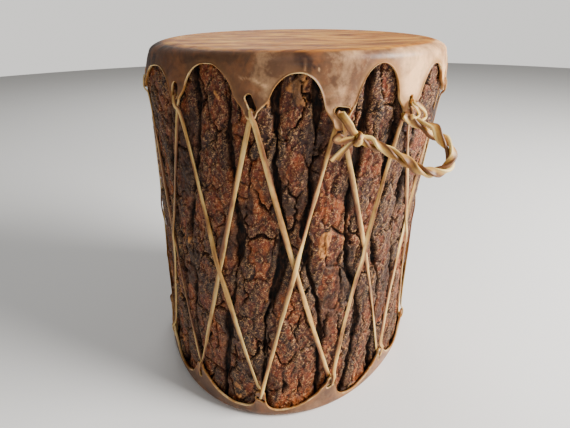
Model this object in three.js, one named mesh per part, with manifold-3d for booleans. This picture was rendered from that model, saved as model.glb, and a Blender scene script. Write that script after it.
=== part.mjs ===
// Log drum: a hollow log with its bark on, a rawhide head at each end, one rawhide thong
// laced between the scalloped skirts of the heads, and a twisted rawhide handle.
// Millimetres, +Z up. The origin is the middle of the underside, and the front faces -Y.
// A place on the trunk is given by its angle from the front (degrees, growing towards +X),
// its height, and its offset outwards from the drum's outline.

import * as THREE from 'three';
import { mergeVertices } from 'three/addons/utils/BufferGeometryUtils.js';
import Module from 'manifold-3d';

const wasm = await Module();
wasm.setup();

// Trunk outline, over the skins
const HEIGHT = 356;
const BASE_RADIUS = 154;
const TOP_RADIUS = 152.7;
const WAIST = 3.1;            // how far the middle is drawn in
const LEAN = 15.5;            // the top's centre lies this far towards +X
const BOW = 2.1;              // the middle of the trunk bows this far towards -X
const BASE_SWELLS = [
  { lobes: 2, size: 2.2, peak: 13 },
  { lobes: 3, size: 7.6, peak: -10 },
];
const TOP_SWELLS = [{ lobes: 2, size: 6.3, peak: 44 }];
const DRAW_IN = 10;           // the top is drawn in by this much at its two sides
const DRAW_HEIGHT = 44;       // over this height

// Log and bark
const WALL = 27;              // outline to the hollow
const BARK_INSET = 2.8;       // outline to the crown of the bark
const FURROWS = 24;           // the long furrows that run up the trunk
const FURROW_HEIGHTS = [0, 100, 200, 300, 356];
const FRONT_FURROWS = [       // angles of the front ones at those heights
  [-36, -40, -41, -34, -36],
  [-24, -22, -17, -22, -21],
  [-9, -8, -1.8, -6.2, -6],
  [12, 12.5, 5, 7, 5],
  [23, 29, 19.5, 21.3, 21],
  [39, 41, 32, 34.5, 34],
  [53, 51, 43.5, 47, 47],
];
const FURROW_DEPTH = 8.5;
const FURROW_HALF = 1;        // degrees, furrow middle to plate edge at its narrowest
const FURROW_SPREAD = 0.9;    // degrees that the half width grows by at its widest
const FURROW_JITTER = 5;      // degrees of uneven spacing
const FURROW_WANDER = 2.6;    // degrees that a furrow strays on its way up
const CRACKS = 4;             // the cracks across each strip of bark
const CRACK_DEPTH = 5.5;
const CRACK_HALF = 5;
const CRACK_SLANT = 24;
const CRACK_SCATTER = 0.6;    // of the spacing between cracks, how far they stray from it
const PLATE_TOP = 0.3;        // the highest plate lies this far under the bark's crown
const PLATE_SINK = 2.4;       // and the lowest this far under that
const BARK_MARGIN = 10;       // the rims are smooth, and the furrows start this far in

// Heads
const SKIN = 2;
const TOP_RIM = 9;            // height of the rounded rims
const BOTTOM_RIM = 8;
const TOP_REACH = 8;          // how far in the top's rounding reaches at front and back,
const SIDE_REACH = 14;        // and how much further at its two sides
const TAB_COUNT = 13;
const TAB_LIFT = 3.5;         // how far the thong lifts a tab's tip off the bark
const TIP_WIDTH = 9;
const TIP_ROUND = 3;
const TOP_TAB_LENGTH = 49;    // the tabs behind, on average
const BOTTOM_TAB_LENGTH = 38;
const TAB_WOBBLE = 8;         // the spread of their lengths
const TOP_TABS = [
  { angle: -72, length: 47, crown: 16 },
  { angle: -43.5, length: 47, crown: 10 },
  { angle: -13.3, length: 50, crown: 15 },
  { angle: 12.8, length: 59, crown: 10 },
  { angle: 36.5, length: 56, crown: 15.5 },
  { angle: 61, length: 43, crown: 13 },
];
const BOTTOM_TABS = [
  { angle: -66, length: 41, crown: 12 },
  { angle: -36, length: 41, crown: 12 },
  { angle: -9, length: 34, crown: 10.5 },
  { angle: 17.5, length: 42, crown: 9 },
  { angle: 46, length: 37, crown: 10 },
  { angle: 76, length: 38, crown: 11 },
];
const TOP_ARCH = 12;          // end plane to the crown of a scallop behind
const BOTTOM_ARCH = 11;
const ARCH_WOBBLE = 3;
const SCALLOP = [-1, -0.85, -0.35, 0.35, 0.85, 1];   // stations across a scallop
const LIFT_FROM = 0.75;       // the skirt starts to lift here, towards the tab
const BOTTOM_SKEW = [0, 0.5, -0.5, -0.4, 0.3];
const SLIT_WIDTH = 6.4;
const SLIT_HEIGHT = 11;
const SLIT_PEAK = 2;          // the pointed part of the slit's height
const SLIT_TO_TIP = 7.5;      // skin left between the slit and the tip
const CUTTER_DEPTH = 16;

// Thong and handle
const THONG_WIDTH = 4.7;
const THONG_THICK = 1.5;
const CLEAR = 0.35;           // gap kept between pieces that touch
const SLOPE_ROOM = 0.3;       // more gap over a tab, because the skin slopes there
const BEHIND_TIP = 4.5;       // flat on the bark from here to the turn through the slit
const TURN_IN = 0.6;          // the turn's inner and outer reach from the slit's edge
const TURN_OUT = 1.9;
const PAST_TIP = 0.5;         // the thong stays up to here, past the tip that it leaves,
const LANDING = 9;            // is nearly down on the bark here,
const LANDING_LIFT = 1.6;
const DIVE = 7;               // and is flat again this far before the next tip
const SPLICE_TAB = 9;         // the thong's ends meet behind this top tab
const SPLICE_GAP = 0.7;
const DOWN_LEG_OVER = new Set([1, 4, 6, 9, 11]);
const PLY_WIDTH = 5.6;
const PLY_THICK = 4.2;
const PLY_SPREAD = 2;         // rope middle to ply middle
const PLY_ENDS = 0.35;        // of that spread, what is left at the rope's ends
const PLY_FLARE = 8;          // how fast the plies part again
const PLY_STEPS = 18;
const HANDLE_TURNS = 2.25;
const EYE_AT = 0.84;          // place along the rope where the plies stand apart
const EYE_HALF = 0.06;
const EYE_SPREAD = 2.2;
const STRAND_RADIUS = 2.2;
const KNOT_RADIUS = 4.2;
const KNOT_TILT = -0.9;

const DEG = Math.PI / 180;
const UP = new THREE.Vector3(0, 0, 1);

// ---- The trunk's outline -------------------------------------------------------------

function swell(list, angle) {
  return list.reduce((sum, s) => sum + s.size * Math.cos(s.lobes * (angle - s.peak) * DEG), 0);
}

function outline(angle, z) {
  const t = z / HEIGHT;
  const taper = BASE_RADIUS + (TOP_RADIUS - BASE_RADIUS) * t - WAIST * 4 * t * (1 - t);
  const drawn = Math.max(0, (z - HEIGHT + DRAW_HEIGHT) / DRAW_HEIGHT) ** 2;
  return taper + (1 - t) * swell(BASE_SWELLS, angle) + t * swell(TOP_SWELLS, angle)
    - DRAW_IN * sideness(angle) * drawn;
}

// 0 at the front and the back, 1 at the two sides.
function sideness(angle) {
  return Math.sin(angle * DEG) ** 2;
}

function centreX(z) {
  const t = z / HEIGHT;
  return LEAN * t - BOW * 4 * t * (1 - t);
}

function outward(angle) {
  return new THREE.Vector3(Math.sin(angle * DEG), -Math.cos(angle * DEG), 0);
}

function sideways(angle) {
  return new THREE.Vector3(Math.cos(angle * DEG), Math.sin(angle * DEG), 0);
}

function onTrunk(angle, z, offset) {
  const point = outward(angle).multiplyScalar(outline(angle, z) + offset);
  point.x += centreX(z);
  point.z = z;
  return point;
}

// ---- Bark ----------------------------------------------------------------------------

const ARC = BASE_RADIUS * DEG;

// A fixed pseudo-random number from 0 to 1 for each pair of whole numbers.
function chance(i, k, salt) {
  const value = Math.sin(i * 127.1 + k * 311.7 + salt * 74.7) * 43758.5453;
  return value - Math.floor(value);
}

// The furrows at the front are placed one by one, and the others are spread evenly behind.
function furrowAngle(i, z) {
  if (i < FRONT_FURROWS.length) {
    const above = FURROW_HEIGHTS.findIndex((height, n) => n > 0 && z <= height);
    const [low, high] = [FURROW_HEIGHTS[above - 1], FURROW_HEIGHTS[above]];
    const part = THREE.MathUtils.smoothstep(z, low, high);
    return THREE.MathUtils.lerp(FRONT_FURROWS[i][above - 1], FRONT_FURROWS[i][above], part);
  }
  const steps = FURROWS - FRONT_FURROWS.length + 1;
  const last = FRONT_FURROWS[FRONT_FURROWS.length - 1][0];
  const step = (FRONT_FURROWS[0][0] + 360 - last) / steps;
  const even = last + (i - FRONT_FURROWS.length + 1) * step;
  const start = even + FURROW_JITTER * (chance(i, 0, 1) - 0.5);
  const waves = 1 + chance(i, 0, 2);
  const phase = chance(i, 0, 3) * 2 * Math.PI;
  return start + FURROW_WANDER * Math.sin((waves * 2 * Math.PI * z) / HEIGHT + phase);
}

function furrowHalf(i, z) {
  const phase = chance(i, 0, 9) * 2 * Math.PI;
  return FURROW_HALF + (FURROW_SPREAD * (1 + Math.sin((4 * Math.PI * z) / HEIGHT + phase))) / 2;
}

// Heights and depths up one edge of the strip of bark that follows furrow i. end is -1 on
// the strip's left edge and 1 on its right.
function stripEdge(i, end) {
  const rows = [{ z: BOTTOM_RIM, depth: 0 }];
  const low = BOTTOM_RIM + BARK_MARGIN;
  const high = HEIGHT - TOP_RIM - BARK_MARGIN;
  const sink = (k) => PLATE_TOP + PLATE_SINK * chance(i, k, 4);
  rows.push({ z: low, depth: sink(0) });
  for (let k = 0; k < CRACKS; k += 1) {
    const place = (k + 0.5 + CRACK_SCATTER * (chance(i, k, 5) - 0.5)) / CRACKS;
    const slant = CRACK_SLANT * (chance(i, k, 6) - 0.5) * end;
    const z = low + place * (high - low) + slant;
    rows.push({ z: z - CRACK_HALF, depth: sink(k) });
    rows.push({ z, depth: CRACK_DEPTH * (0.4 + 0.6 * chance(i, k, 8)) });
    rows.push({ z: z + CRACK_HALF, depth: sink(k + 1) });
  }
  rows.push({ z: high, depth: sink(CRACKS) });
  rows.push({ z: HEIGHT - TOP_RIM, depth: 0 });
  return rows;
}

// The furrow's floor runs midway between the strips on its two sides.
function furrowFloor(i) {
  const before = stripEdge((i + FURROWS - 1) % FURROWS, 1);
  const after = stripEdge(i, -1);
  return before.map((row, n) => ({
    z: (row.z + after[n].z) / 2,
    depth: row.depth === 0 ? 0 : FURROW_DEPTH * (0.7 + 0.3 * chance(i, n, 7)),
  }));
}

// Three columns for each furrow: the strip's edge before it, its floor, and the edge after.
function barkColumns() {
  const columns = [];
  for (let i = 0; i < FURROWS; i += 1) {
    const before = stripEdge((i + FURROWS - 1) % FURROWS, 1);
    const lines = [[before, -1], [furrowFloor(i), 0], [stripEdge(i, -1), 1]];
    lines.forEach(([rows, aside]) => columns.push({
      angle: (z) => furrowAngle(i, z) + aside * furrowHalf(i, z),
      rows,
    }));
  }
  return columns;
}

// ---- Solids --------------------------------------------------------------------------

// Merges shared corners and drops collapsed triangles, as at a pole.
function closed(geometry) {
  const bare = new THREE.BufferGeometry();
  bare.setAttribute('position', geometry.getAttribute('position'));
  bare.setIndex(geometry.getIndex());
  const merged = mergeVertices(bare, 1e-4);
  const old = merged.getIndex().array;
  const kept = [];
  for (let i = 0; i < old.length; i += 3) {
    const [a, b, c] = [old[i], old[i + 1], old[i + 2]];
    if (a !== b && b !== c && c !== a) kept.push(a, b, c);
  }
  merged.setIndex(kept);
  return facingOut(merged);
}

// Turns a solid's faces over if they point inwards.
function facingOut(geometry) {
  const place = geometry.getAttribute('position');
  const index = Array.from(geometry.getIndex().array);
  const corner = [new THREE.Vector3(), new THREE.Vector3(), new THREE.Vector3()];
  let volume = 0;
  for (let i = 0; i < index.length; i += 3) {
    corner.forEach((v, n) => v.fromBufferAttribute(place, index[i + n]));
    volume += corner[0].dot(corner[1].clone().cross(corner[2]));
  }
  if (volume < 0) {
    for (let i = 0; i < index.length; i += 3) {
      [index[i], index[i + 1]] = [index[i + 1], index[i]];
    }
    geometry.setIndex(index);
  }
  return geometry;
}

// A lathe's grid of rings and columns, with each corner then put in its own place.
function ringSolid(ringCount, columnCount, closesOnItself, place) {
  const profile = [];
  for (let ring = 0; ring < ringCount; ring += 1) profile.push(new THREE.Vector2(1, ring));
  if (closesOnItself) profile.push(profile[0].clone());
  const lathe = new THREE.LatheGeometry(profile, columnCount);
  const position = lathe.getAttribute('position');
  for (let column = 0; column <= columnCount; column += 1) {
    for (let row = 0; row < profile.length; row += 1) {
      const point = place(row % ringCount, column % columnCount);
      position.setXYZ(column * profile.length + row, point.x, point.y, point.z);
    }
  }
  return closed(lathe);
}

function toManifold(geometry) {
  return new wasm.Manifold(new wasm.Mesh({
    numProp: 3,
    vertProperties: Float32Array.from(geometry.getAttribute('position').array),
    triVerts: Uint32Array.from(geometry.getIndex().array),
  }));
}

function fromManifold(solid) {
  const mesh = solid.getMesh();
  const geometry = new THREE.BufferGeometry();
  geometry.setAttribute('position', new THREE.BufferAttribute(mesh.vertProperties, 3));
  geometry.setIndex(new THREE.BufferAttribute(mesh.triVerts, 1));
  return geometry;
}

// A path that keeps its own stations and says how a strip lies at each of them.
class StripPath extends THREE.Curve {
  constructor(stations) {
    super();
    this.stations = stations;
  }

  getPoint(t) {
    return this.stations[Math.round(t * (this.stations.length - 1))].point.clone();
  }

  getSpacedPoints() {
    return this.stations.map((station) => station.point.clone());
  }

  computeFrenetFrames() {
    const tangents = [];
    const normals = [];
    const binormals = [];
    const last = this.stations.length - 1;
    this.stations.forEach((station, n) => {
      const before = this.stations[Math.max(0, n - 1)].point;
      const after = this.stations[Math.min(last, n + 1)].point;
      const tangent = after.clone().sub(before).normalize();
      const normal = station.across.clone();
      normal.addScaledVector(tangent, -normal.dot(tangent)).normalize();
      tangents.push(tangent);
      normals.push(normal);
      binormals.push(tangent.clone().cross(normal));
    });
    return { tangents, normals, binormals };
  }
}

function rectangle(width, height) {
  const shape = new THREE.Shape();
  shape.moveTo(-width / 2, -height / 2);
  shape.lineTo(width / 2, -height / 2);
  shape.lineTo(width / 2, height / 2);
  shape.lineTo(-width / 2, height / 2);
  return shape;
}

function polygon(sides, radius) {
  const corners = [];
  for (let n = 0; n < sides; n += 1) {
    const turn = (n / sides) * 2 * Math.PI;
    corners.push(new THREE.Vector2(radius * Math.cos(turn), radius * Math.sin(turn)));
  }
  return new THREE.Shape(corners);
}

function tube(shape, path, steps) {
  return closed(new THREE.ExtrudeGeometry(shape, { steps, extrudePath: path }));
}

// ---- Log -----------------------------------------------------------------------------

// How far the top's rounding reaches in from the outline.
function topReach(angle) {
  return TOP_REACH + SIDE_REACH * sideness(angle);
}

function makeLog() {
  const columns = barkColumns();
  const plain = (inset, z) => (column) => onTrunk(column.angle(z), z, -inset);
  const topEdge = (column) => {
    const angle = column.angle(HEIGHT);
    return onTrunk(angle, HEIGHT - BARK_INSET, -topReach(angle));
  };
  const bark = (n) => (column) => {
    const { z, depth } = column.rows[n];
    return onTrunk(column.angle(z), z, -BARK_INSET - depth);
  };
  const rings = [
    plain(BOTTOM_RIM, BARK_INSET),
    ...columns[0].rows.map((row, n) => bark(n)),
    topEdge,
    plain(WALL, HEIGHT - BARK_INSET),
    plain(WALL, BARK_INSET),
  ];
  return ringSolid(rings.length, columns.length, true, (ring, n) => rings[ring](columns[n]));
}

// ---- Heads ---------------------------------------------------------------------------

// The tabs at the front are placed one by one, and the others are spread evenly behind.
function fullRound(front, plainLength) {
  const tabs = front.map((tab) => ({ ...tab }));
  const last = front[front.length - 1].angle;
  const gaps = TAB_COUNT - front.length + 1;
  const step = (front[0].angle + 360 - last) / gaps;
  for (let n = 1; n < gaps; n += 1) {
    const wobble = TAB_WOBBLE * (chance(n, plainLength, 4) - 0.5);
    tabs.push({ angle: last + n * step, length: plainLength + wobble });
  }
  return tabs;
}

function headOf(atTop) {
  const plainLength = atTop ? TOP_TAB_LENGTH : BOTTOM_TAB_LENGTH;
  return {
    tabs: fullRound(atTop ? TOP_TABS : BOTTOM_TABS, plainLength),
    rim: atTop ? TOP_RIM : BOTTOM_RIM,
    reach: atTop ? topReach : () => BOTTOM_RIM,
    arch: atTop ? TOP_ARCH : BOTTOM_ARCH,
    skews: atTop ? [] : BOTTOM_SKEW,
    toTip: atTop ? -1 : 1,
    level: (depth) => (atTop ? HEIGHT - depth : depth),
  };
}

const topSide = headOf(true);
const bottomSide = headOf(false);

// One tab and the scallop after it: where the skirt's edge runs, and how far it is lifted.
function skirtStations(side) {
  const stations = [];
  side.tabs.forEach((tab, n) => {
    const next = side.tabs[(n + 1) % TAB_COUNT];
    const end = n + 1 < TAB_COUNT ? next.angle : next.angle + 360;
    const tipHalf = TIP_WIDTH / 2 / ARC;
    const half = (end - tab.angle) / 2;
    const crown = tab.crown ?? side.arch + ARCH_WOBBLE * (chance(n, side.arch, 5) - 0.3);
    const skew = side.skews[n] ?? 0;
    stations.push({ angle: tab.angle, depth: tab.length, lift: TAB_LIFT });
    SCALLOP.forEach((v) => {
      const foot = (v < 0 ? tab.length : next.length) - TIP_ROUND;
      const bend = 1 - Math.sqrt(1 - v * v);
      const slid = v + skew * (1 - v * v);
      stations.push({
        angle: tab.angle + half + slid * (half - tipHalf),
        depth: crown + (foot - crown) * bend,
        lift: TAB_LIFT * Math.max(0, (Math.abs(v) - LIFT_FROM) / (1 - LIFT_FROM)),
      });
    });
  });
  return stations;
}

// How far the skin stands off its plain line on a tab's middle, between rim and tip.
function tabLift(side, tab, depth) {
  return (TAB_LIFT * (depth - side.rim)) / (tab.length - side.rim);
}

function slitCutter(side, tab) {
  const wide = SLIT_WIDTH / 2;
  const reach = SLIT_HEIGHT / 2;
  const shape = new THREE.Shape([
    new THREE.Vector2(-wide, -reach),
    new THREE.Vector2(wide, -reach),
    new THREE.Vector2(wide, reach - SLIT_PEAK),
    new THREE.Vector2(0, reach),
    new THREE.Vector2(-wide, reach - SLIT_PEAK),
  ]);
  const block = new THREE.ExtrudeGeometry(shape, { depth: CUTTER_DEPTH, bevelEnabled: false });
  const z = side.level(tab.length - SLIT_TO_TIP - reach);
  const up = UP.clone().multiplyScalar(-side.toTip);
  const out = outward(tab.angle);
  const frame = new THREE.Matrix4().makeBasis(up.clone().cross(out), up, out);
  frame.setPosition(onTrunk(tab.angle, z, -CUTTER_DEPTH / 2));
  block.applyMatrix4(frame);
  return toManifold(closed(block));
}

function makeHead(side) {
  const stations = skirtStations(side);
  const rounded = (turn, skin) => (station) => {
    const reach = side.reach(station.angle);
    const inset = reach - (reach - skin) * Math.sin(turn * DEG);
    const depth = side.rim - (side.rim - skin) * Math.cos(turn * DEG);
    return onTrunk(station.angle, side.level(depth), -inset);
  };
  const axis = (depth) => () => {
    return new THREE.Vector3(centreX(side.level(depth)), 0, side.level(depth));
  };
  const edge = (inset) => (station) => {
    return onTrunk(station.angle, side.level(station.depth), station.lift - inset);
  };
  const outer = [0, 45, 90].map((turn) => rounded(turn, 0));
  const inner = [0, 90].map((turn) => rounded(turn, SKIN));
  const rings = [axis(0), ...outer, edge(0), edge(SKIN), ...inner.reverse(), axis(SKIN)];
  const skin = ringSolid(rings.length, stations.length, false, (ring, column) => {
    return rings[ring](stations[column]);
  });
  let solid = toManifold(skin);
  side.tabs.forEach((tab) => {
    solid = solid.subtract(slitCutter(side, tab));
  });
  return fromManifold(solid);
}

// ---- Lacing --------------------------------------------------------------------------

const THONG_ON_BARK = CLEAR + THONG_THICK / 2 - BARK_INSET;
const THONG_OVER = CLEAR + THONG_THICK / 2 + SLOPE_ROOM;

function slitEdge(side, tab) {
  return side.level(tab.length - SLIT_TO_TIP);
}

// The thong's stop at one tab: it comes up behind the tip, out through the slit, and away
// over the front.
function laceStop(step) {
  const side = step % 2 === 0 ? topSide : bottomSide;
  const count = SPLICE_TAB + step;
  const tab = side.tabs[count % TAB_COUNT];
  const angle = tab.angle + 360 * Math.floor(count / TAB_COUNT);
  return { side, tab, angle, gap: count % TAB_COUNT, z: slitEdge(side, tab), toTip: side.toTip };
}

function laceStation(angle, z, offset, tilt) {
  const across = sideways(angle).multiplyScalar(Math.cos(tilt));
  across.addScaledVector(UP, Math.sin(tilt));
  return { point: onTrunk(angle, z, offset), across };
}

// Leaves one stop, crosses the bark in a straight line, and arrives behind the next.
function laceLeg(from, to) {
  const angleAt = (z) => from.angle + ((to.angle - from.angle) * (z - from.z)) / (to.z - from.z);
  const lean = -Math.atan((to.angle - from.angle) * ARC / (to.z - from.z));
  const down = to.z < from.z;
  const lies = (z, offset) => laceStation(angleAt(z), z, offset, lean);
  const fromTip = from.side.level(from.tab.length);
  const toTip = to.side.level(to.tab.length);
  const start = fromTip + from.toTip * LANDING;
  const end = toTip + to.toTip * DIVE;
  const stations = [
    lies(fromTip + from.toTip * PAST_TIP, TAB_LIFT + THONG_OVER),
    lies(start, THONG_ON_BARK + LANDING_LIFT),
  ];
  [0.25, 0.5, 0.75].forEach((part) => {
    const onTop = DOWN_LEG_OVER.has(from.gap) === down;
    const raise = part === 0.5 && onTop ? THONG_THICK + 2 * CLEAR : 0;
    stations.push(lies(start + (end - start) * part, THONG_ON_BARK + raise));
  });
  stations.push(lies(end, THONG_ON_BARK));
  return stations;
}

// Turns out through a slit, over the strip of skin beside it, starting BEHIND_TIP short of
// the slit's edge.
function laceTurn(stop) {
  const back = -stop.toTip;
  const lift = tabLift(stop.side, stop.tab, stop.tab.length - SLIT_TO_TIP);
  const at = (run, offset) => laceStation(stop.angle, stop.z + back * run, offset, 0);
  return [
    at(-BEHIND_TIP, THONG_ON_BARK),
    at(TURN_IN, THONG_ON_BARK),
    at(TURN_OUT, lift - SKIN / 2),
    at(TURN_IN, lift + THONG_OVER),
  ];
}

function makeLacing() {
  const stations = [];
  const legs = 2 * TAB_COUNT;
  for (let step = 0; step < legs; step += 1) {
    stations.push(...laceTurn(laceStop(step)), ...laceLeg(laceStop(step), laceStop(step + 1)));
  }
  const { toTip, angle, z } = laceStop(legs);
  const end = z + toTip * (BEHIND_TIP + SPLICE_GAP);
  stations.push(laceStation(angle, end, THONG_ON_BARK, 0));
  const path = new StripPath(stations);
  return tube(rectangle(THONG_WIDTH, THONG_THICK), path, stations.length - 1);
}

// ---- Handle --------------------------------------------------------------------------

// Stations of the rope's middle: angle, height and offset from the outline.
const KNOT = { angle: 17, z: 291.5, offset: 9.5 };
const ROPE_ROUTE = [
  [17.6, 290.5, 10], [19.8, 287.5, 13], [22.8, 282, 19.5], [26.2, 277, 30], [29, 271.5, 40],
  [32, 268.5, 47], [35.2, 270.5, 50], [37.6, 277, 47], [39.2, 284.5, 39.5], [39.4, 290.5, 30],
  [38.8, 294.5, 19], [37.6, 296.5, 11.5],
];
const HOOK_ROUTE = [
  [37.6, 296.5, 11.5], [40, 295.8, 10.5], [42.6, 298.5, 9.5], [42.2, 305, 9.2], [39.8, 311, 9.4],
  [37.6, 313.2, 8.4], [36.6, 313.3, 5], [36.5, 313.3, 0.6],
];
const STRAP_ROUTE = [
  [17, 291.5, 9.2], [15.3, 300.5, 9.6], [13.8, 307.6, 9.2], [12.9, 310.2, 6], [12.8, 310.4, 0.6],
];
const TAIL_ROUTE = [[17, 292, 9.5], [14.2, 286, 7.2], [11.3, 276, 5.2]];
const CURL_ROUTE = [[17, 292.5, 9.5], [13.8, 291, 9.4], [11, 291.5, 9], [10, 295.5, 9.2]];

function route(list) {
  const points = list.map(([angle, z, offset]) => onTrunk(angle, z, offset));
  return new THREE.CatmullRomCurve3(points, false, 'centripetal');
}

// One ply of the rope winds round the rope's middle line, with an eye near its far end.
function plyPath(start) {
  const middle = route(ROPE_ROUTE);
  const frames = middle.computeFrenetFrames(PLY_STEPS, false);
  const points = middle.getSpacedPoints(PLY_STEPS).map((point, n) => {
    const t = n / PLY_STEPS;
    const turn = start + t * HANDLE_TURNS * 2 * Math.PI;
    const eye = EYE_SPREAD * Math.exp(-(((t - EYE_AT) / EYE_HALF) ** 2));
    const spread = (PLY_SPREAD + eye) * Math.min(1, PLY_ENDS + PLY_FLARE * Math.min(t, 1 - t));
    const side = frames.normals[n].clone().multiplyScalar(Math.cos(turn) * spread);
    side.addScaledVector(frames.binormals[n], Math.sin(turn) * spread);
    return point.clone().add(side);
  });
  return new THREE.CatmullRomCurve3(points, false, 'centripetal');
}

function knotRing() {
  const centre = onTrunk(KNOT.angle, KNOT.z, KNOT.offset);
  const along = sideways(KNOT.angle).addScaledVector(UP, KNOT_TILT).normalize();
  const ring = new THREE.TorusGeometry(KNOT_RADIUS, STRAND_RADIUS, 5, 9);
  const turn = new THREE.Quaternion().setFromUnitVectors(UP, along);
  ring.applyQuaternion(turn);
  ring.translate(centre.x, centre.y, centre.z);
  return closed(ring);
}

function makeHandle() {
  const ply = rectangle(PLY_WIDTH, PLY_THICK);
  const strand = polygon(5, STRAND_RADIUS);
  const pieces = [
    tube(ply, plyPath(0), PLY_STEPS),
    tube(ply, plyPath(Math.PI), PLY_STEPS),
    tube(strand, route(HOOK_ROUTE), 10),
    tube(strand, route(STRAP_ROUTE), 7),
    tube(strand, route(TAIL_ROUTE), 3),
    tube(strand, route(CURL_ROUTE), 5),
    knotRing(),
  ];
  const solid = pieces.map(toManifold).reduce((sum, piece) => sum.add(piece));
  return fromManifold(solid);
}

// ---- The drum ------------------------------------------------------------------------

const drum = new THREE.Group();

function addPiece(name, geometry, color, roughness) {
  const material = new THREE.MeshStandardMaterial({ color, roughness, metalness: 0 });
  const mesh = new THREE.Mesh(geometry, material);
  mesh.name = name;
  drum.add(mesh);
}

addPiece('log_shell', makeLog(), 0x6b3a24, 0.9);
addPiece('top_head', makeHead(topSide), 0xc49a6c, 0.45);
addPiece('bottom_head', makeHead(bottomSide), 0x9a7456, 0.45);
addPiece('lacing', makeLacing(), 0xd8bb8e, 0.5);
addPiece('handle', makeHandle(), 0xc9a066, 0.5);

export default drum;
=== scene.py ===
"""Ceremonial log drum: the looks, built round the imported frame.

A hollow log with its bark on, a rawhide head at each end, one rawhide thong laced between
the scalloped skirts of the heads, and a twisted rawhide handle. Lengths are in metres and
angles in degrees unless a name says otherwise. A place on the trunk is given by its angle
from the front (growing towards +X), its height, and its offset from the drum's outline.
"""

import logging
import math
from dataclasses import dataclass, field
from enum import Enum
from typing import Callable, Optional, Sequence

import bpy
import numpy as np
from mathutils import Matrix, Vector


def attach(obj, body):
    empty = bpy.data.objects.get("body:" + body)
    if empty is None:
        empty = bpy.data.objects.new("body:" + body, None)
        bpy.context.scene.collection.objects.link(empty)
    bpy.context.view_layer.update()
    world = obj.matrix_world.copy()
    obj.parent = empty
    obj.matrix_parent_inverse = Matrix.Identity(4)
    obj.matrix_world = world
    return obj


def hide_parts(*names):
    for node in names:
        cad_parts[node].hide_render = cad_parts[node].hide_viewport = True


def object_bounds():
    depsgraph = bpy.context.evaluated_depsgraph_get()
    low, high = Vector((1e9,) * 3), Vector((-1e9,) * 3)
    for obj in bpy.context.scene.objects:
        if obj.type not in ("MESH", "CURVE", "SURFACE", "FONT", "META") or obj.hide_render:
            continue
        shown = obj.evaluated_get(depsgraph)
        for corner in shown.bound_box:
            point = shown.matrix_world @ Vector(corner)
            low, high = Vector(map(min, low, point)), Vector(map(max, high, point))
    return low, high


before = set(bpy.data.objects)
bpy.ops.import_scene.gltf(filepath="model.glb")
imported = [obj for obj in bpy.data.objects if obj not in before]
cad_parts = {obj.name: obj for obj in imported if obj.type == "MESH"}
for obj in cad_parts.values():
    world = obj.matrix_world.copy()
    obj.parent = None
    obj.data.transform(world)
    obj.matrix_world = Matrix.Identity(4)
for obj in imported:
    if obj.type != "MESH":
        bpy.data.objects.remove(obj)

logging.basicConfig(level=logging.INFO, format="%(message)s")
log = logging.getLogger("drum")

CAD_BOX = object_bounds()
MM = 0.001
BODY = "root"
LINE_SQUARES = 1000    # more than any line needs, so that noise along it does not repeat

Triple = tuple[float, float, float]
Colour = Triple
Places = tuple[Triple, ...]
Grid = np.ndarray


class End(Enum):
    """The two ends of the drum."""

    TOP = "top"
    BOTTOM = "bottom"


# ---- Numbers that look random ----------------------------------------------------------


def chance(i: Grid, k: Grid, salt: float) -> Grid:
    """Gives a fixed pseudo-random number for each pair of whole numbers.

    Args:
        i: First whole number, or an array of them.
        k: Second whole number, or an array of them.
        salt: Tells one set of numbers from another.

    Returns:
        Numbers from 0 to 1.
    """
    value = np.sin(np.asarray(i) * 127.1 + np.asarray(k) * 311.7 + salt * 74.7) * 43758.5453
    return value - np.floor(value)


def ease(t: Grid) -> Grid:
    """Smooth step from 0 to 1, flat outside."""
    t = np.clip(t, 0.0, 1.0)
    return t * t * (3.0 - 2.0 * t)


def drift(u: Grid, v: Grid, around: int, salt: float) -> Grid:
    """Smooth noise on unit squares, which repeats every `around` squares along u.

    Args:
        u: Place round the trunk, in squares.
        v: Place up the trunk, in squares.
        around: How many squares go round the trunk.
        salt: Tells one pattern from another.

    Returns:
        Values from -1 to 1.
    """
    iu = np.floor(u)
    iv = np.floor(v)
    fu = ease(u - iu)
    fv = ease(v - iv)
    low = chance(iu % around, iv, salt) * (1 - fu) + chance((iu + 1) % around, iv, salt) * fu
    high = chance(iu % around, iv + 1, salt) * (1 - fu)
    high = high + chance((iu + 1) % around, iv + 1, salt) * fu
    return 2.0 * (low * (1 - fv) + high * fv) - 1.0


@dataclass
class Cells:
    """A field of irregular cells round the trunk, such as plates or flakes of bark."""

    edge: Grid       # distance to the cell's edge
    mark: Grid       # a number from 0 to 1 for each cell
    above: Grid      # height above the cell's middle


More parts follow.
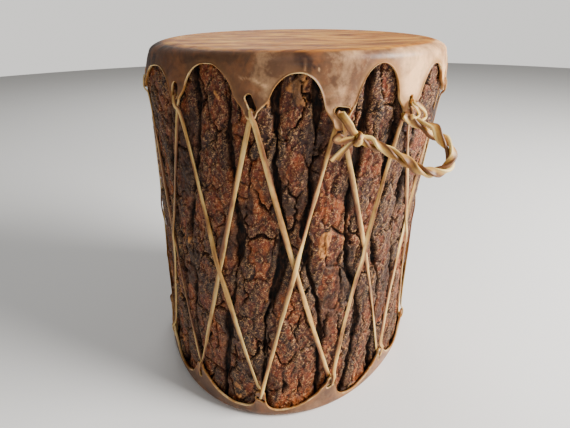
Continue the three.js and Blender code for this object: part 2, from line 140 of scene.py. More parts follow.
def cells(x: Grid, z: Grid, width: float, height: float, around: int, salt: float) -> Cells:
    """Finds the irregular cell that each place lies in.

    Args:
        x: Distance round the trunk.
        z: Height.
        width: Width of a cell.
        height: Height of a cell.
        around: How many cells go round the trunk.
        salt: Tells one pattern from another.

    Returns:
        The cells, each field of the same shape as x.
    """
    squash = width / height
    iu = np.floor(x / width)
    iv = np.floor(z / height)
    first = np.full(x.shape, 1e3)
    second = np.full(x.shape, 1e3)
    gap_x = np.zeros(x.shape)
    gap_z = np.zeros(x.shape)
    next_x = np.zeros(x.shape)
    next_z = np.zeros(x.shape)
    mark = np.zeros(x.shape)
    for du in (-1, 0, 1):
        for dv in (-1, 0, 1):
            cu = (iu + du) % around
            cv = iv + dv
            away_x = x - (iu + du + chance(cu, cv, salt)) * width
            away_z = z - (cv + chance(cu, cv, salt + 1)) * height
            reach = away_x ** 2 + (squash * away_z) ** 2
            nearer = reach < first
            between = ~nearer & (reach < second)
            next_x = np.where(nearer, gap_x, np.where(between, away_x, next_x))
            next_z = np.where(nearer, gap_z, np.where(between, away_z, next_z))
            second = np.where(nearer, first, np.where(between, reach, second))
            gap_x = np.where(nearer, away_x, gap_x)
            gap_z = np.where(nearer, away_z, gap_z)
            first = np.where(nearer, reach, first)
            mark = np.where(nearer, chance(cu, cv, salt + 2), mark)
    slope = np.hypot(next_x - gap_x, squash ** 2 * (next_z - gap_z))
    edge = (second - first) / (2 * np.maximum(slope, 1e-6))
    return Cells(edge, mark, gap_z)


def soften(values: Grid, times: int) -> Grid:
    """Blurs a grid whose columns go round the trunk, a step at a time.

    Args:
        values: The grid.
        times: How many steps.

    Returns:
        The blurred grid.
    """
    for _ in range(times):
        values = (2 * values + np.roll(values, 1, 1) + np.roll(values, -1, 1)) / 4
        padded = np.pad(values, ((1, 1), (0, 0)), mode="edge")
        values = (2 * values + padded[:-2] + padded[2:]) / 4
    return values


def ring_drift(angle: Grid, v: Grid, around: int, salt: float) -> Grid:
    """Smooth noise with `around` squares round the trunk."""
    return drift(angle / 360 * around, v, around, salt)


def line_drift(run: Grid, salt: float) -> Grid:
    """Smooth noise along a line, in squares of one unit."""
    return drift(run, run * 0, LINE_SQUARES, salt)


# ---- The trunk's outline ---------------------------------------------------------------


@dataclass(frozen=True)
class Swell:
    """One swelling of the outline that goes round it `lobes` times."""

    lobes: int
    size: float
    peak: float


@dataclass(frozen=True)
class Trunk:
    """The drum's outline over its skins, on which every piece is placed."""

    height: float = CAD_BOX[1].z
    base_radius: float = 0.154
    top_radius: float = 0.1527
    waist: float = 0.0031
    lean: float = 0.0155
    bow: float = 0.0021
    base_swells: tuple[Swell, ...] = (Swell(2, 0.0022, 13), Swell(3, 0.0076, -10))
    top_swells: tuple[Swell, ...] = (Swell(2, 0.0063, 44),)
    draw_in: float = 0.010
    draw_height: float = 0.044
    furrows: int = 24
    furrow_heights: tuple[float, ...] = (0.0, 0.100, 0.200, 0.300, 0.356)
    front_furrows: tuple[tuple[float, ...], ...] = (
        (-36, -40, -41, -34, -36), (-24, -22, -17, -22, -21), (-9, -8, -1.8, -6.2, -6),
        (12, 12.5, 5, 7, 5), (23, 29, 19.5, 21.3, 21), (39, 41, 32, 34.5, 34),
        (53, 51, 43.5, 47, 47),
    )
    furrow_jitter: float = 5.0
    furrow_wander: float = 2.6

    @property
    def arc(self) -> float:
        """Length of one degree round the base."""
        return math.radians(self.base_radius)

    def radius(self, angle: Grid, z: Grid) -> Grid:
        """Outline radius at an angle and a height.

        Args:
            angle: Angles from the front.
            z: Heights.

        Returns:
            The radius at each place.
        """
        t = z / self.height
        plain = self.base_radius + (self.top_radius - self.base_radius) * t
        plain = plain - self.waist * 4 * t * (1 - t)
        for share, swells in ((1 - t, self.base_swells), (t, self.top_swells)):
            for swell in swells:
                wave = np.cos(np.radians(swell.lobes * (angle - swell.peak)))
                plain = plain + share * swell.size * wave
        drawn = np.maximum(0, (z - self.height + self.draw_height) / self.draw_height) ** 2
        return plain - self.draw_in * self.sideness(angle) * drawn

    def sideness(self, angle: Grid) -> Grid:
        """0 at the front and the back, 1 at the two sides."""
        return np.sin(np.radians(angle)) ** 2

    def furrow_angle(self, i: int, z: Grid) -> Grid:
        """Where the middle of one of the bark's long furrows runs.

        Args:
            i: The furrow's number.
            z: Heights.

        Returns:
            Its angle at each height.
        """
        if i < len(self.front_furrows):
            angle = np.full(np.shape(z), float(self.front_furrows[i][0]))
            stops = list(zip(self.furrow_heights, self.front_furrows[i]))
            for (low, before), (high, after) in zip(stops, stops[1:]):
                angle = angle + (after - before) * ease((z - low) / (high - low))
            return angle
        steps = self.furrows - len(self.front_furrows) + 1
        last = self.front_furrows[-1][0]
        step = (self.front_furrows[0][0] + 360 - last) / steps
        start = last + (i - len(self.front_furrows) + 1) * step
        start = start + self.furrow_jitter * (chance(i, 0, 1) - 0.5)
        waves = 1 + chance(i, 0, 2)
        phase = chance(i, 0, 3) * 2 * math.pi
        wave = np.sin(waves * 2 * math.pi * z / self.height + phase)
        return start + self.furrow_wander * wave

    def centre_x(self, z: Grid) -> Grid:
        """Where the middle of the trunk lies at a height."""
        t = z / self.height
        return self.lean * t - self.bow * 4 * t * (1 - t)

    def place(self, angle: Grid, z: Grid, offset: Grid) -> Grid:
        """Points on the trunk.

        Args:
            angle: Angles from the front.
            z: Heights.
            offset: Distances outwards from the outline.

        Returns:
            An array whose last axis holds x, y and z.
        """
        angle, z, offset = np.broadcast_arrays(
            np.asarray(angle, float), np.asarray(z, float), np.asarray(offset, float)
        )
        reach = self.radius(angle, z) + offset
        turn = np.radians(angle)
        x = self.centre_x(z) + reach * np.sin(turn)
        return np.stack([x, -reach * np.cos(turn), z], axis=-1)


def outward(angle: float) -> np.ndarray:
    """Direction away from the trunk at an angle."""
    turn = math.radians(angle)
    return np.array([math.sin(turn), -math.cos(turn), 0.0])


def sideways(angle: float) -> np.ndarray:
    """Direction round the trunk at an angle, towards growing angles."""
    turn = math.radians(angle)
    return np.array([math.cos(turn), math.sin(turn), 0.0])


UPWARD = np.array([0.0, 0.0, 1.0])


def unit(rows: Grid) -> Grid:
    """Scales each row to a length of one."""
    return rows / np.linalg.norm(rows, axis=1, keepdims=True)


def tangents(points: Grid) -> Grid:
    """Direction of a line at each of its points."""
    return unit(np.gradient(points, axis=0))


def square_to(rows: Grid, tangent: Grid) -> Grid:
    """Direction of what is left of each row square to a tangent."""
    return unit(rows - tangent * np.sum(rows * tangent, 1, keepdims=True))


def full_turn(count: int) -> Grid:
    """Angles in radians, spread evenly round a circle."""
    return np.arange(count) / count * 2 * math.pi


# ---- Mesh making -----------------------------------------------------------------------


def deselect() -> None:
    """Leaves nothing selected."""
    bpy.ops.object.select_all(action="DESELECT")


def select_only(piece: bpy.types.Object) -> None:
    """Makes a piece the only selected and active one.

    Args:
        piece: The piece.
    """
    deselect()
    piece.select_set(True)
    bpy.context.view_layer.objects.active = piece


def wrapped_sheet(
    name: str,
    across: int,
    along: int,
    place: Callable[[Grid, Grid], Grid],
    marks: Optional[dict[str, Grid]] = None,
    stretch: tuple[float, float] = (1.0, 1.0),
) -> bpy.types.Object:
    """Wraps a flat sheet round into a closed body, and joins it where its edges meet.

    Args:
        name: The new piece's name.
        across: Squares along the sheet's first way.
        along: Squares along its second way.
        place: Gives the points for arrays of column and row numbers, both from 0.
        marks: Values for each corner, shaped (along + 1, across + 1), kept as attributes.
        stretch: Size of the sheet's UV map along its two ways.

    Returns:
        The new piece, smooth, with its faces outwards.
    """
    deselect()
    bpy.ops.mesh.primitive_grid_add(x_subdivisions=across, y_subdivisions=along, size=2)
    piece = bpy.context.object
    piece.name = name
    mesh = piece.data
    flat = np.zeros(len(mesh.vertices) * 3, np.float32)
    mesh.vertices.foreach_get("co", flat)
    flat = flat.reshape(-1, 3)
    column = np.rint((flat[:, 0] + 1) / 2 * across).astype(int)
    row = np.rint((flat[:, 1] + 1) / 2 * along).astype(int)
    points = place(column, row)
    mesh.vertices.foreach_set("co", points.astype(np.float32).ravel())
    for mark, values in (marks or {}).items():
        layer = mesh.attributes.new(mark, "FLOAT", "POINT")
        layer.data.foreach_set("value", values[row, column].astype(np.float32))
    spread = mesh.uv_layers.active.data
    uv = np.zeros(len(spread) * 2, np.float32)
    spread.foreach_get("uv", uv)
    uv = uv.reshape(-1, 2) * np.array(stretch, np.float32)
    spread.foreach_set("uv", uv.ravel())
    bpy.ops.object.mode_set(mode="EDIT")
    bpy.ops.mesh.select_all(action="SELECT")
    bpy.ops.mesh.remove_doubles(threshold=0.000002)
    bpy.ops.mesh.dissolve_degenerate(threshold=0.000001)
    bpy.ops.mesh.select_all(action="SELECT")
    bpy.ops.mesh.normals_make_consistent(inside=False)
    bpy.ops.object.mode_set(mode="OBJECT")
    bpy.ops.object.shade_smooth()
    return piece


@dataclass
class Strip:
    """A strip of hide: its middle line, which way its width lies, and its section."""

    points: Grid                 # (n, 3)
    across: Grid                 # (n, 3)
    width: Grid                  # (n,)
    thick: Grid                  # (n,)
    sides: int = 14
    camber: float = 0.0          # how far the section bows, as a share of its width
    flatness: float = 3.0        # 2 gives an ellipse, more gives a squarer section

    def build(self, name: str, ring: bool = False) -> bpy.types.Object:
        """Makes the strip's mesh.

        Args:
            name: The new piece's name.
            ring: True if the strip's two ends meet.

        Returns:
            The new piece.
        """
        count = len(self.points)
        if ring:
            step = np.roll(self.points, -1, 0) - np.roll(self.points, 1, 0)
        else:
            step = np.gradient(self.points, axis=0)
        tangent = unit(step)
        across = square_to(self.across, tangent)
        normal = np.cross(tangent, across)
        turn = full_turn(self.sides)
        power = 2.0 / self.flatness
        wide = np.sign(np.cos(turn)) * np.abs(np.cos(turn)) ** power
        tall = np.sign(np.sin(turn)) * np.abs(np.sin(turn)) ** power
        x = wide[None, :] * self.width[:, None] / 2
        y = tall[None, :] * self.thick[:, None] / 2
        y = y - self.camber * self.width[:, None] * (wide[None, :] ** 2 - 0.4)
        body = self.points[:, None] + across[:, None] * x[..., None]
        body = body + normal[:, None] * y[..., None]
        if ring:
            rows = np.concatenate([body, body[:1]])
        else:
            first = np.repeat(self.points[:1, None], self.sides, 1)
            last = np.repeat(self.points[-1:, None], self.sides, 1)
            rows = np.concatenate([first, body, last])
        rows = np.concatenate([rows, rows[:, :1]], axis=1)
        length = float(np.sum(np.linalg.norm(np.diff(self.points, axis=0), axis=1)))
        girth = float(np.mean(self.width) * 2)
        run = np.arange(len(rows))[:, None] * length / len(rows)
        # painted light and shade: one edge of the strip is marked to be painted paler and the other
        # darker, the two swapping along its length
        shade_swap = np.clip(2.5 * line_drift(run / 0.09, 8), -1, 1)
        marks = {"edge": shade_swap * np.append(wide, wide[0])[None, :]}
        return wrapped_sheet(
            name, self.sides, len(rows) - 1, lambda c, r: rows[r, c], marks, (girth, length)
        )


def smooth_line(points: Grid, count: int) -> Grid:
    """Draws a smooth line through points.

    Args:
        points: The points to pass through, shaped (n, k).
        count: How many points to return.

    Returns:
        Points along the line, evenly spread by length, shaped (count, k).
    """
    points = np.asarray(points, float)
    padded = np.vstack([2 * points[0] - points[1], points, 2 * points[-1] - points[-2]])
    fine = []
    for n in range(len(points) - 1):
        p0, p1, p2, p3 = padded[n:n + 4]
        t = np.linspace(0, 1, 24, endpoint=False)[:, None]
        fine.append(
            0.5 * (2 * p1 + (p2 - p0) * t + (2 * p0 - 5 * p1 + 4 * p2 - p3) * t ** 2
                   + (3 * p1 - p0 - 3 * p2 + p3) * t ** 3)
        )
    line = np.vstack([*fine, points[-1:]])
    run = np.concatenate([[0], np.cumsum(np.linalg.norm(np.diff(line[:, :3], axis=0), axis=1))])
    wanted = np.linspace(0, run[-1], count)
    return np.stack([np.interp(wanted, run, line[:, k]) for k in range(line.shape[1])], 1)


def joined(pieces: Sequence[bpy.types.Object], name: str) -> bpy.types.Object:
    """Joins pieces into the first of them and names it.

    Args:
        pieces: The pieces to join.
        name: The name of the result.

    Returns:
        The joined piece.
    """
    deselect()
    for piece in pieces:
        piece.select_set(True)
    bpy.context.view_layer.objects.active = pieces[0]
    bpy.ops.object.join()
    result = bpy.context.object
    result.name = name
    return result


def hand_over(piece: bpy.types.Object, material: bpy.types.Material, node: str) -> None:
    """Dresses a finished piece and lets it stand for its CAD node.

    Args:
        piece: The finished piece.
        material: What it is made of.
        node: The CAD node that it replaces.
    """
    piece.data.materials.clear()
    piece.data.materials.append(material)
    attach(piece, BODY)
    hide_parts(node)
    faces = sum(len(p.vertices) - 2 for p in piece.data.polygons)
    log.info("%s: %d triangles", piece.name, faces)


# ---- Materials -------------------------------------------------------------------------


def tone(red: int, green: int, blue: int) -> tuple[float, float, float, float]:
    """A colour from its everyday 0 to 255 values, in the renderer's own light values.

    Args:
        red: Red, from 0 to 255.
        green: Green, from 0 to 255.
        blue: Blue, from 0 to 255.

    Returns:
        The colour's four values, the last of them 1.
    """
    values = [c / 255 for c in (red, green, blue)]
    linear = [v / 12.92 if v <= 0.04045 else ((v + 0.055) / 1.055) ** 2.4 for v in values]
    return (linear[0], linear[1], linear[2], 1.0)


class Graph:
    """A material's node tree, with short ways to add to it."""

    def __init__(self, name: str) -> None:
        """Starts a material with a plain shader.

        Args:
            name: The new material's name.
        """
        self.material = bpy.data.materials.new(name)
        self.material.use_nodes = True
        self.tree = self.material.node_tree
        self.shader = self.tree.nodes["Principled BSDF"]

    def put(self, socket: bpy.types.NodeSocket, value: object) -> None:
        """Links a socket into another, or sets its value. A tuple is an everyday colour.

        Args:
            socket: The input to fill.
            value: A socket, a number or a colour.
        """
        if isinstance(value, bpy.types.NodeSocket):
            self.tree.links.new(value, socket)
        else:
            socket.default_value = tone(*value) if isinstance(value, tuple) else value

    def node(self, kind: str, settings: Optional[dict] = None, **inputs: object) -> bpy.types.Node:
        """Adds a node.

        Args:
            kind: Blender's name for the node, without its ShaderNode prefix.
            settings: The node's own settings.
            inputs: Values or sockets for its inputs, with _ for a space in their names.

        Returns:
            The node.
        """
        made = self.tree.nodes.new("ShaderNode" + kind)
        for key, value in (settings or {}).items():
            setattr(made, key, value)
        for key, value in inputs.items():
            self.put(made.inputs[key.replace("_", " ")], value)
        return made

    def space(self, source: str, scale: Triple, turn: float = 0.0) -> bpy.types.NodeSocket:
        """Coordinates of the piece, scaled and turned about Z.

        Args:
            source: Object or UV.
            scale: Scale along each axis.
            turn: Turn about Z, in degrees.

        Returns:
            The coordinates.
        """
        coords = self.node("TexCoord").outputs[source]
        mapping = self.node("Mapping", Vector=coords)
        mapping.inputs["Scale"].default_value = scale
        mapping.inputs["Rotation"].default_value = (0.0, 0.0, math.radians(turn))
        return mapping.outputs["Vector"]

    def noise(self, where: bpy.types.NodeSocket, scale: float, detail: float = 4.0,
              roughness: float = 0.55, distortion: float = 0.0) -> bpy.types.NodeSocket:
        """Cloudy noise from 0 to 1."""
        return self.node("TexNoise", Vector=where, Scale=scale, Detail=detail,
                         Roughness=roughness, Distortion=distortion).outputs["Fac"]

    def mark(self, name: str) -> bpy.types.NodeSocket:
        """A value kept on the mesh."""
        return self.node("Attribute", {"attribute_name": name}).outputs["Fac"]

    def ramp(self, factor: bpy.types.NodeSocket, stops: Sequence[tuple]) -> bpy.types.NodeSocket:
        """Turns a value into a colour through (place, colour) stops.

        Args:
            factor: The value.
            stops: Places from 0 to 1, each with its everyday colour.

        Returns:
            The colour.
        """
        made = self.node("ValToRGB", Fac=factor)
        elements = made.color_ramp.elements
        while len(elements) < len(stops):
            elements.new(0.5)
        for element, (place, colour) in zip(elements, stops):
            element.position = place
            element.color = tone(*colour)
        return made.outputs["Color"]

    def span(self, value: bpy.types.NodeSocket, low: float, high: float,
             to_low: float = 0.0, to_high: float = 1.0) -> bpy.types.NodeSocket:
        """Maps low..high of a value to to_low..to_high, clamped.

        Args:
            value: The value.
            low: Where it starts.
            high: Where it ends.
            to_low: What low gives.
            to_high: What high gives.

        Returns:
            The new value.
        """
        made = self.node("MapRange", Value=value)
        for key, number in zip(("From Min", "From Max", "To Min", "To Max"),
                               (low, high, to_low, to_high)):
            made.inputs[key].default_value = number
        return made.outputs["Result"]

    def maths(self, operation: str, first: object, second: object = 0.0) -> bpy.types.NodeSocket:
        """One sum on two values.

        Args:
            operation: Blender's name for the sum.
            first: A value or a socket.
            second: A value or a socket.

        Returns:
            The result.
        """
        made = self.node("Math", {"operation": operation})
        self.put(made.inputs[0], first)
        self.put(made.inputs[1], second)
        return made.outputs[0]

    def mix(self, factor: object, first: object, second: object) -> bpy.types.NodeSocket:
        """Mixes two colours.

        Args:
            factor: How much of the second colour shows.
            first: A colour or a socket.
            second: A colour or a socket.

        Returns:
            The colour.
        """
        made = self.node("Mix", {"data_type": "RGBA"})
        self.put(made.inputs[0], factor)
        self.put(made.inputs[6], first)
        self.put(made.inputs[7], second)
        return made.outputs[2]

    def plus(self, total: object, part: object, share: float) -> bpy.types.NodeSocket:
        """Adds a share of one value to another."""
        return self.maths("ADD", total, self.maths("MULTIPLY", part, share))

    def lay(self, under: object, colour: object, factor: object,
            share: float) -> bpy.types.NodeSocket:
        """Lays a colour over another by a share of a value."""
        return self.mix(self.maths("MULTIPLY", factor, share), under, colour)

    def bump(self, height: bpy.types.NodeSocket, strength: float, distance: float,
             under: Optional[bpy.types.NodeSocket] = None) -> bpy.types.NodeSocket:
        """Adds relief to the shading, over another bump if one is given.

        Args:
            height: The relief.
            strength: How much of it shows.
            distance: How deep it is.
            under: The bump to lay it over.

        Returns:
            The normal.
        """
        made = self.node("Bump", Height=height, Strength=strength, Distance=distance)
        if under is not None:
            self.put(made.inputs["Normal"], under)
        return made.outputs["Normal"]

    def finish(self, **values: object) -> bpy.types.Material:
        """Sets the shader's sockets and gives the material.

        Args:
            values: Values or sockets for its inputs, with _ for a space in their names.

        Returns:
            The material.
        """
        for key, value in values.items():
            self.put(self.shader.inputs[key.replace("_", " ")], value)
        return self.material


@dataclass(frozen=True)
class BarkFinish:
    """Dry pine bark: red-brown flaky plates, with near-black weathered furrows."""

    deep: Colour = (22, 7, 3)
    brown: Colour = (62, 18, 4)
    rust: Colour = (122, 46, 8)
    tan: Colour = (172, 86, 28)
    fleck: Colour = (236, 180, 120)
    ochre: Colour = (230, 154, 78)
    # near-black of the furrows, also laid as painted shade in small hollows
    furrow_and_shadow: Colour = (10, 7, 6)
    crust: Colour = (52, 28, 14)
    weathered: Colour = (84, 64, 47)

    def material(self) -> bpy.types.Material:
        """Makes the bark material.

        Returns:
            The material.
        """
        graph = Graph("bark")
        plain = graph.space("Object", (1, 1, 1))
        tall = graph.space("Object", (1, 1, 0.42))
        # mark of the furrows and cracks, which also holds the painted shadow behind the slits
        furrow_and_shadow = graph.mark("furrow_and_shadow")
        clouds = graph.noise(plain, 26, 3)
        grain = graph.noise(tall, 260, 4, 0.65, 0.6)
        grit = graph.noise(plain, 900, 3, 0.7)
        curls = graph.noise(plain, 135, 2.5, 0.55, 2.2)
        rings = graph.maths("FRACT", graph.maths("MULTIPLY", curls, 7.0))
        shade = graph.maths("MULTIPLY", graph.mark("tint"), 0.62)
        shade = graph.plus(shade, clouds, 0.42)
        shade = graph.plus(shade, grain, 0.22)
        plates = graph.ramp(shade, [
            (0.36, self.deep), (0.56, self.brown), (0.74, self.rust),
            (0.92, self.tan),
        ])
        blots = graph.span(graph.noise(tall, 120, 4, 0.7, 1.0), 0.50, 0.66, 0.0, 0.8)
        plates = graph.mix(blots, plates, self.deep)
        plates = graph.mix(graph.span(rings, 0.0, 0.30, 0.6, 0.0), plates, self.deep)
        rims = graph.maths("MULTIPLY", graph.span(rings, 0.75, 0.95), graph.span(grain, 0.50, 0.6))
        plates = graph.lay(plates, self.fleck, rims, 0.5)
        specks = graph.span(graph.noise(plain, 430, 3, 0.7), 0.63, 0.70, 0.0, 0.7)
        plates = graph.mix(specks, plates, self.fleck)
        # proud edges painted pale: partly wear, partly painted highlight
        worn_and_highlit = graph.maths("MULTIPLY", graph.mark("worn_and_highlit"), graph.span(grit, 0.52, 0.58))
        plates = graph.lay(plates, self.fleck, worn_and_highlit, 0.62)
        # painted shade: small hollows are darkened towards near-black
        plates = graph.lay(plates, self.furrow_and_shadow, graph.mark("hollow_shade"), 0.72)
        patch = graph.maths("MULTIPLY", graph.mark("bare"), graph.span(grain, 0.35, 0.6, 0.15, 0.8))
        plates = graph.mix(patch, plates, self.ochre)
        lichen = graph.ramp(graph.noise(tall, 170, 4, 0.7, 0.8), [
            (0.42, self.deep), (0.54, self.crust), (0.66, self.weathered),
        ])
        plates = graph.lay(plates, lichen, graph.mark("grey"), 0.85)
        old = graph.ramp(grain, [
            (0.44, self.furrow_and_shadow), (0.58, self.crust), (0.70, self.weathered),
        ])
        ragged = graph.plus(furrow_and_shadow, grain, 0.9)
        colour = graph.mix(graph.span(ragged, 0.68, 1.15), plates, old)
        relief = graph.bump(grain, 0.6, 1.2 * MM)
        relief = graph.bump(rings, 0.35, 0.5 * MM, relief)
        relief = graph.bump(grit, 0.6, 0.35 * MM, relief)
        rough = graph.span(furrow_and_shadow, 0.0, 0.6, 0.50, 0.92)
        return graph.finish(Base_Color=colour, Roughness=rough, Normal=relief,
                            Specular_IOR_Level=0.32)


@dataclass(frozen=True)
class HideFinish:
    """Dried rawhide, mottled, with pale cut edges."""

    name: str
    face: Colour = (182, 112, 28)
    face_light: Colour = (226, 166, 64)
    streak: Colour = (112, 60, 14)
    skirt_dark: Colour = (42, 18, 8)
    skirt: Colour = (108, 74, 50)
    # palest skirt tone; the painted light brings the right of the skirt close to it
    skirt_light: Colour = (248, 194, 140)
    cut: Colour = (236, 200, 140)
    cut_shade: Colour = (168, 116, 58)
    tinge: Colour = (148, 92, 52)

    def material(self) -> bpy.types.Material:
        """Makes the rawhide material.

        Returns:
            The material.
        """
        graph = Graph(self.name)
        plain = graph.space("Object", (1, 1, 1))
        long_x = graph.space("Object", (0.42, 1, 1), 7)
        side = graph.mark("side")
        cut = graph.mark("cut")
        fibres = graph.noise(long_x, 44, 8, 0.68, 0.7)
        broad = graph.noise(long_x, 19, 5, 0.6, 0.8)
        face = graph.ramp(fibres, [
            (0.36, self.streak), (0.50, self.face), (0.66, self.face_light),
        ])
        face = graph.mix(graph.span(broad, 0.48, 0.66, 0.0, 0.70), face, self.streak)
        clouds = graph.noise(plain, 26, 5, 0.62, 0.35)
        spots = graph.noise(plain, 120, 6, 0.70)
        level = graph.maths("MULTIPLY", clouds, 0.80)
        # the paleness mark holds stains together with the painted shade and light by angle
        level = graph.plus(level, graph.mark("stain_and_light"), 0.58)
        level = graph.plus(level, spots, 0.32)
        level = graph.maths("SUBTRACT", level, 0.13)
        wall = graph.ramp(level, [
            (0.34, self.skirt_dark), (0.66, self.skirt),
            (0.98, self.skirt_light),
        ])
        warm = graph.span(graph.noise(plain, 34, 4, 0.62, 0.8), 0.48, 0.62, 0.0, 0.55)
        wall = graph.mix(warm, wall, self.tinge)
        wall = graph.mix(graph.mark("border"), wall, self.cut_shade)
        colour = graph.mix(side, face, wall)
        edge = graph.mix(graph.span(clouds, 0.40, 0.54), self.cut, self.cut_shade)
        colour = graph.mix(cut, colour, edge)
        pores = graph.noise(plain, 900, 3, 0.6)
        relief = graph.bump(fibres, 0.25, 0.8 * MM)
        relief = graph.bump(spots, 0.35, 0.8 * MM, relief)
        relief = graph.bump(pores, 0.25, 0.2 * MM, relief)
        rough = graph.maths("ADD", graph.span(spots, 0.35, 0.7, 0.36, 0.54),
                            graph.span(side, 0.0, 1.0, 0.16, 0.0))
        return graph.finish(Base_Color=colour, Roughness=rough, Normal=relief,
                            Specular_IOR_Level=0.38,
                            Subsurface_Weight=0.10, Subsurface_Scale=2.5 * MM)


@dataclass(frozen=True)
class ThongFinish:
    """A strip of dried rawhide with long streaks."""

    name: str
    pale: Colour = (228, 193, 120)
    tan: Colour = (184, 136, 66)
    brown: Colour = (112, 64, 26)
    # painted light and shade across the strip's rounded section
    painted_edge_light: float = 0.17       # how much one edge of the strip differs from the other

    def material(self) -> bpy.types.Material:
        """Makes the thong material.

        Returns:
            The material.
        """
        graph = Graph(self.name)
        along = graph.space("UV", (420, 26, 1))
        plain = graph.space("Object", (1, 1, 1))
        streaks = graph.noise(along, 1.0, 5, 0.6)
        clouds = graph.noise(plain, 32, 4, 0.6)
        level = graph.plus(graph.maths("MULTIPLY", streaks, 0.55), clouds, 0.5)
        # painted light and shade: one edge of the strip paler, the other darker
        level = graph.plus(level, graph.mark("edge"), self.painted_edge_light)
        colour = graph.ramp(level, [
            (0.40, self.brown), (0.53, self.tan), (0.70, self.pale),
        ])
        relief = graph.bump(streaks, 0.5, 0.6 * MM)
        relief = graph.bump(graph.noise(plain, 700, 3), 0.25, 0.2 * MM, relief)
        return graph.finish(Base_Color=colour, Roughness=0.46, Normal=relief,
                            Subsurface_Weight=0.1, Subsurface_Scale=1.5 * MM)


@dataclass(frozen=True)
class PlainFinish:
    """A plain matt surface for the floor."""

    name: str
    colour: Colour

    def material(self) -> bpy.types.Material:
        """Makes the material."""
        return Graph(self.name).finish(Base_Color=self.colour, Roughness=0.75)


# ---- Log and bark ----------------------------------------------------------------------


@dataclass
class Bark:
    """The bark at each place: how deep it lies under its crown, and what shows there."""

    depth: Grid
    # also painted shadow on the bark behind each slit
    furrow_and_shadow: Grid       # in a furrow or a crack
    tint: Grid         # each plate's and flake's own shade
    # paler on proud edges: partly wear, partly painted highlight
    worn_and_highlit: Grid         # on an edge that stands proud
    # painted shade in small hollows
    hollow_shade: Grid       # in a small hollow
    grey: Grid         # weathered, beside a furrow
    bare: Grid         # where the outer flakes have come away


@dataclass(frozen=True)
class Relief:
    """How much each kind of relief in the bark adds, and how far it reaches."""

    plate_edge: float = 0.0011       # plates round off at their edges
    plate_reach: float = 0.0026
    furrow_edge: float = 0.0022      # and fall away beside a furrow
    furrow_reach: float = 0.0042
    plate_step: float = 0.0012       # from one plate to the next
    plate_slope: float = 0.0006
    scale_step: float = 0.0010
    scale_slope: float = 0.0008
    scale_edge: float = 0.0004
    chip_step: float = 0.00045
    chip_slope: float = 0.00035
    terrace: float = 0.00022
    grit: float = 0.00018
    bare: float = 0.0007             # where the outer flakes have come away
    crown: float = 0.0011            # how far the highest places stand over the usual ones


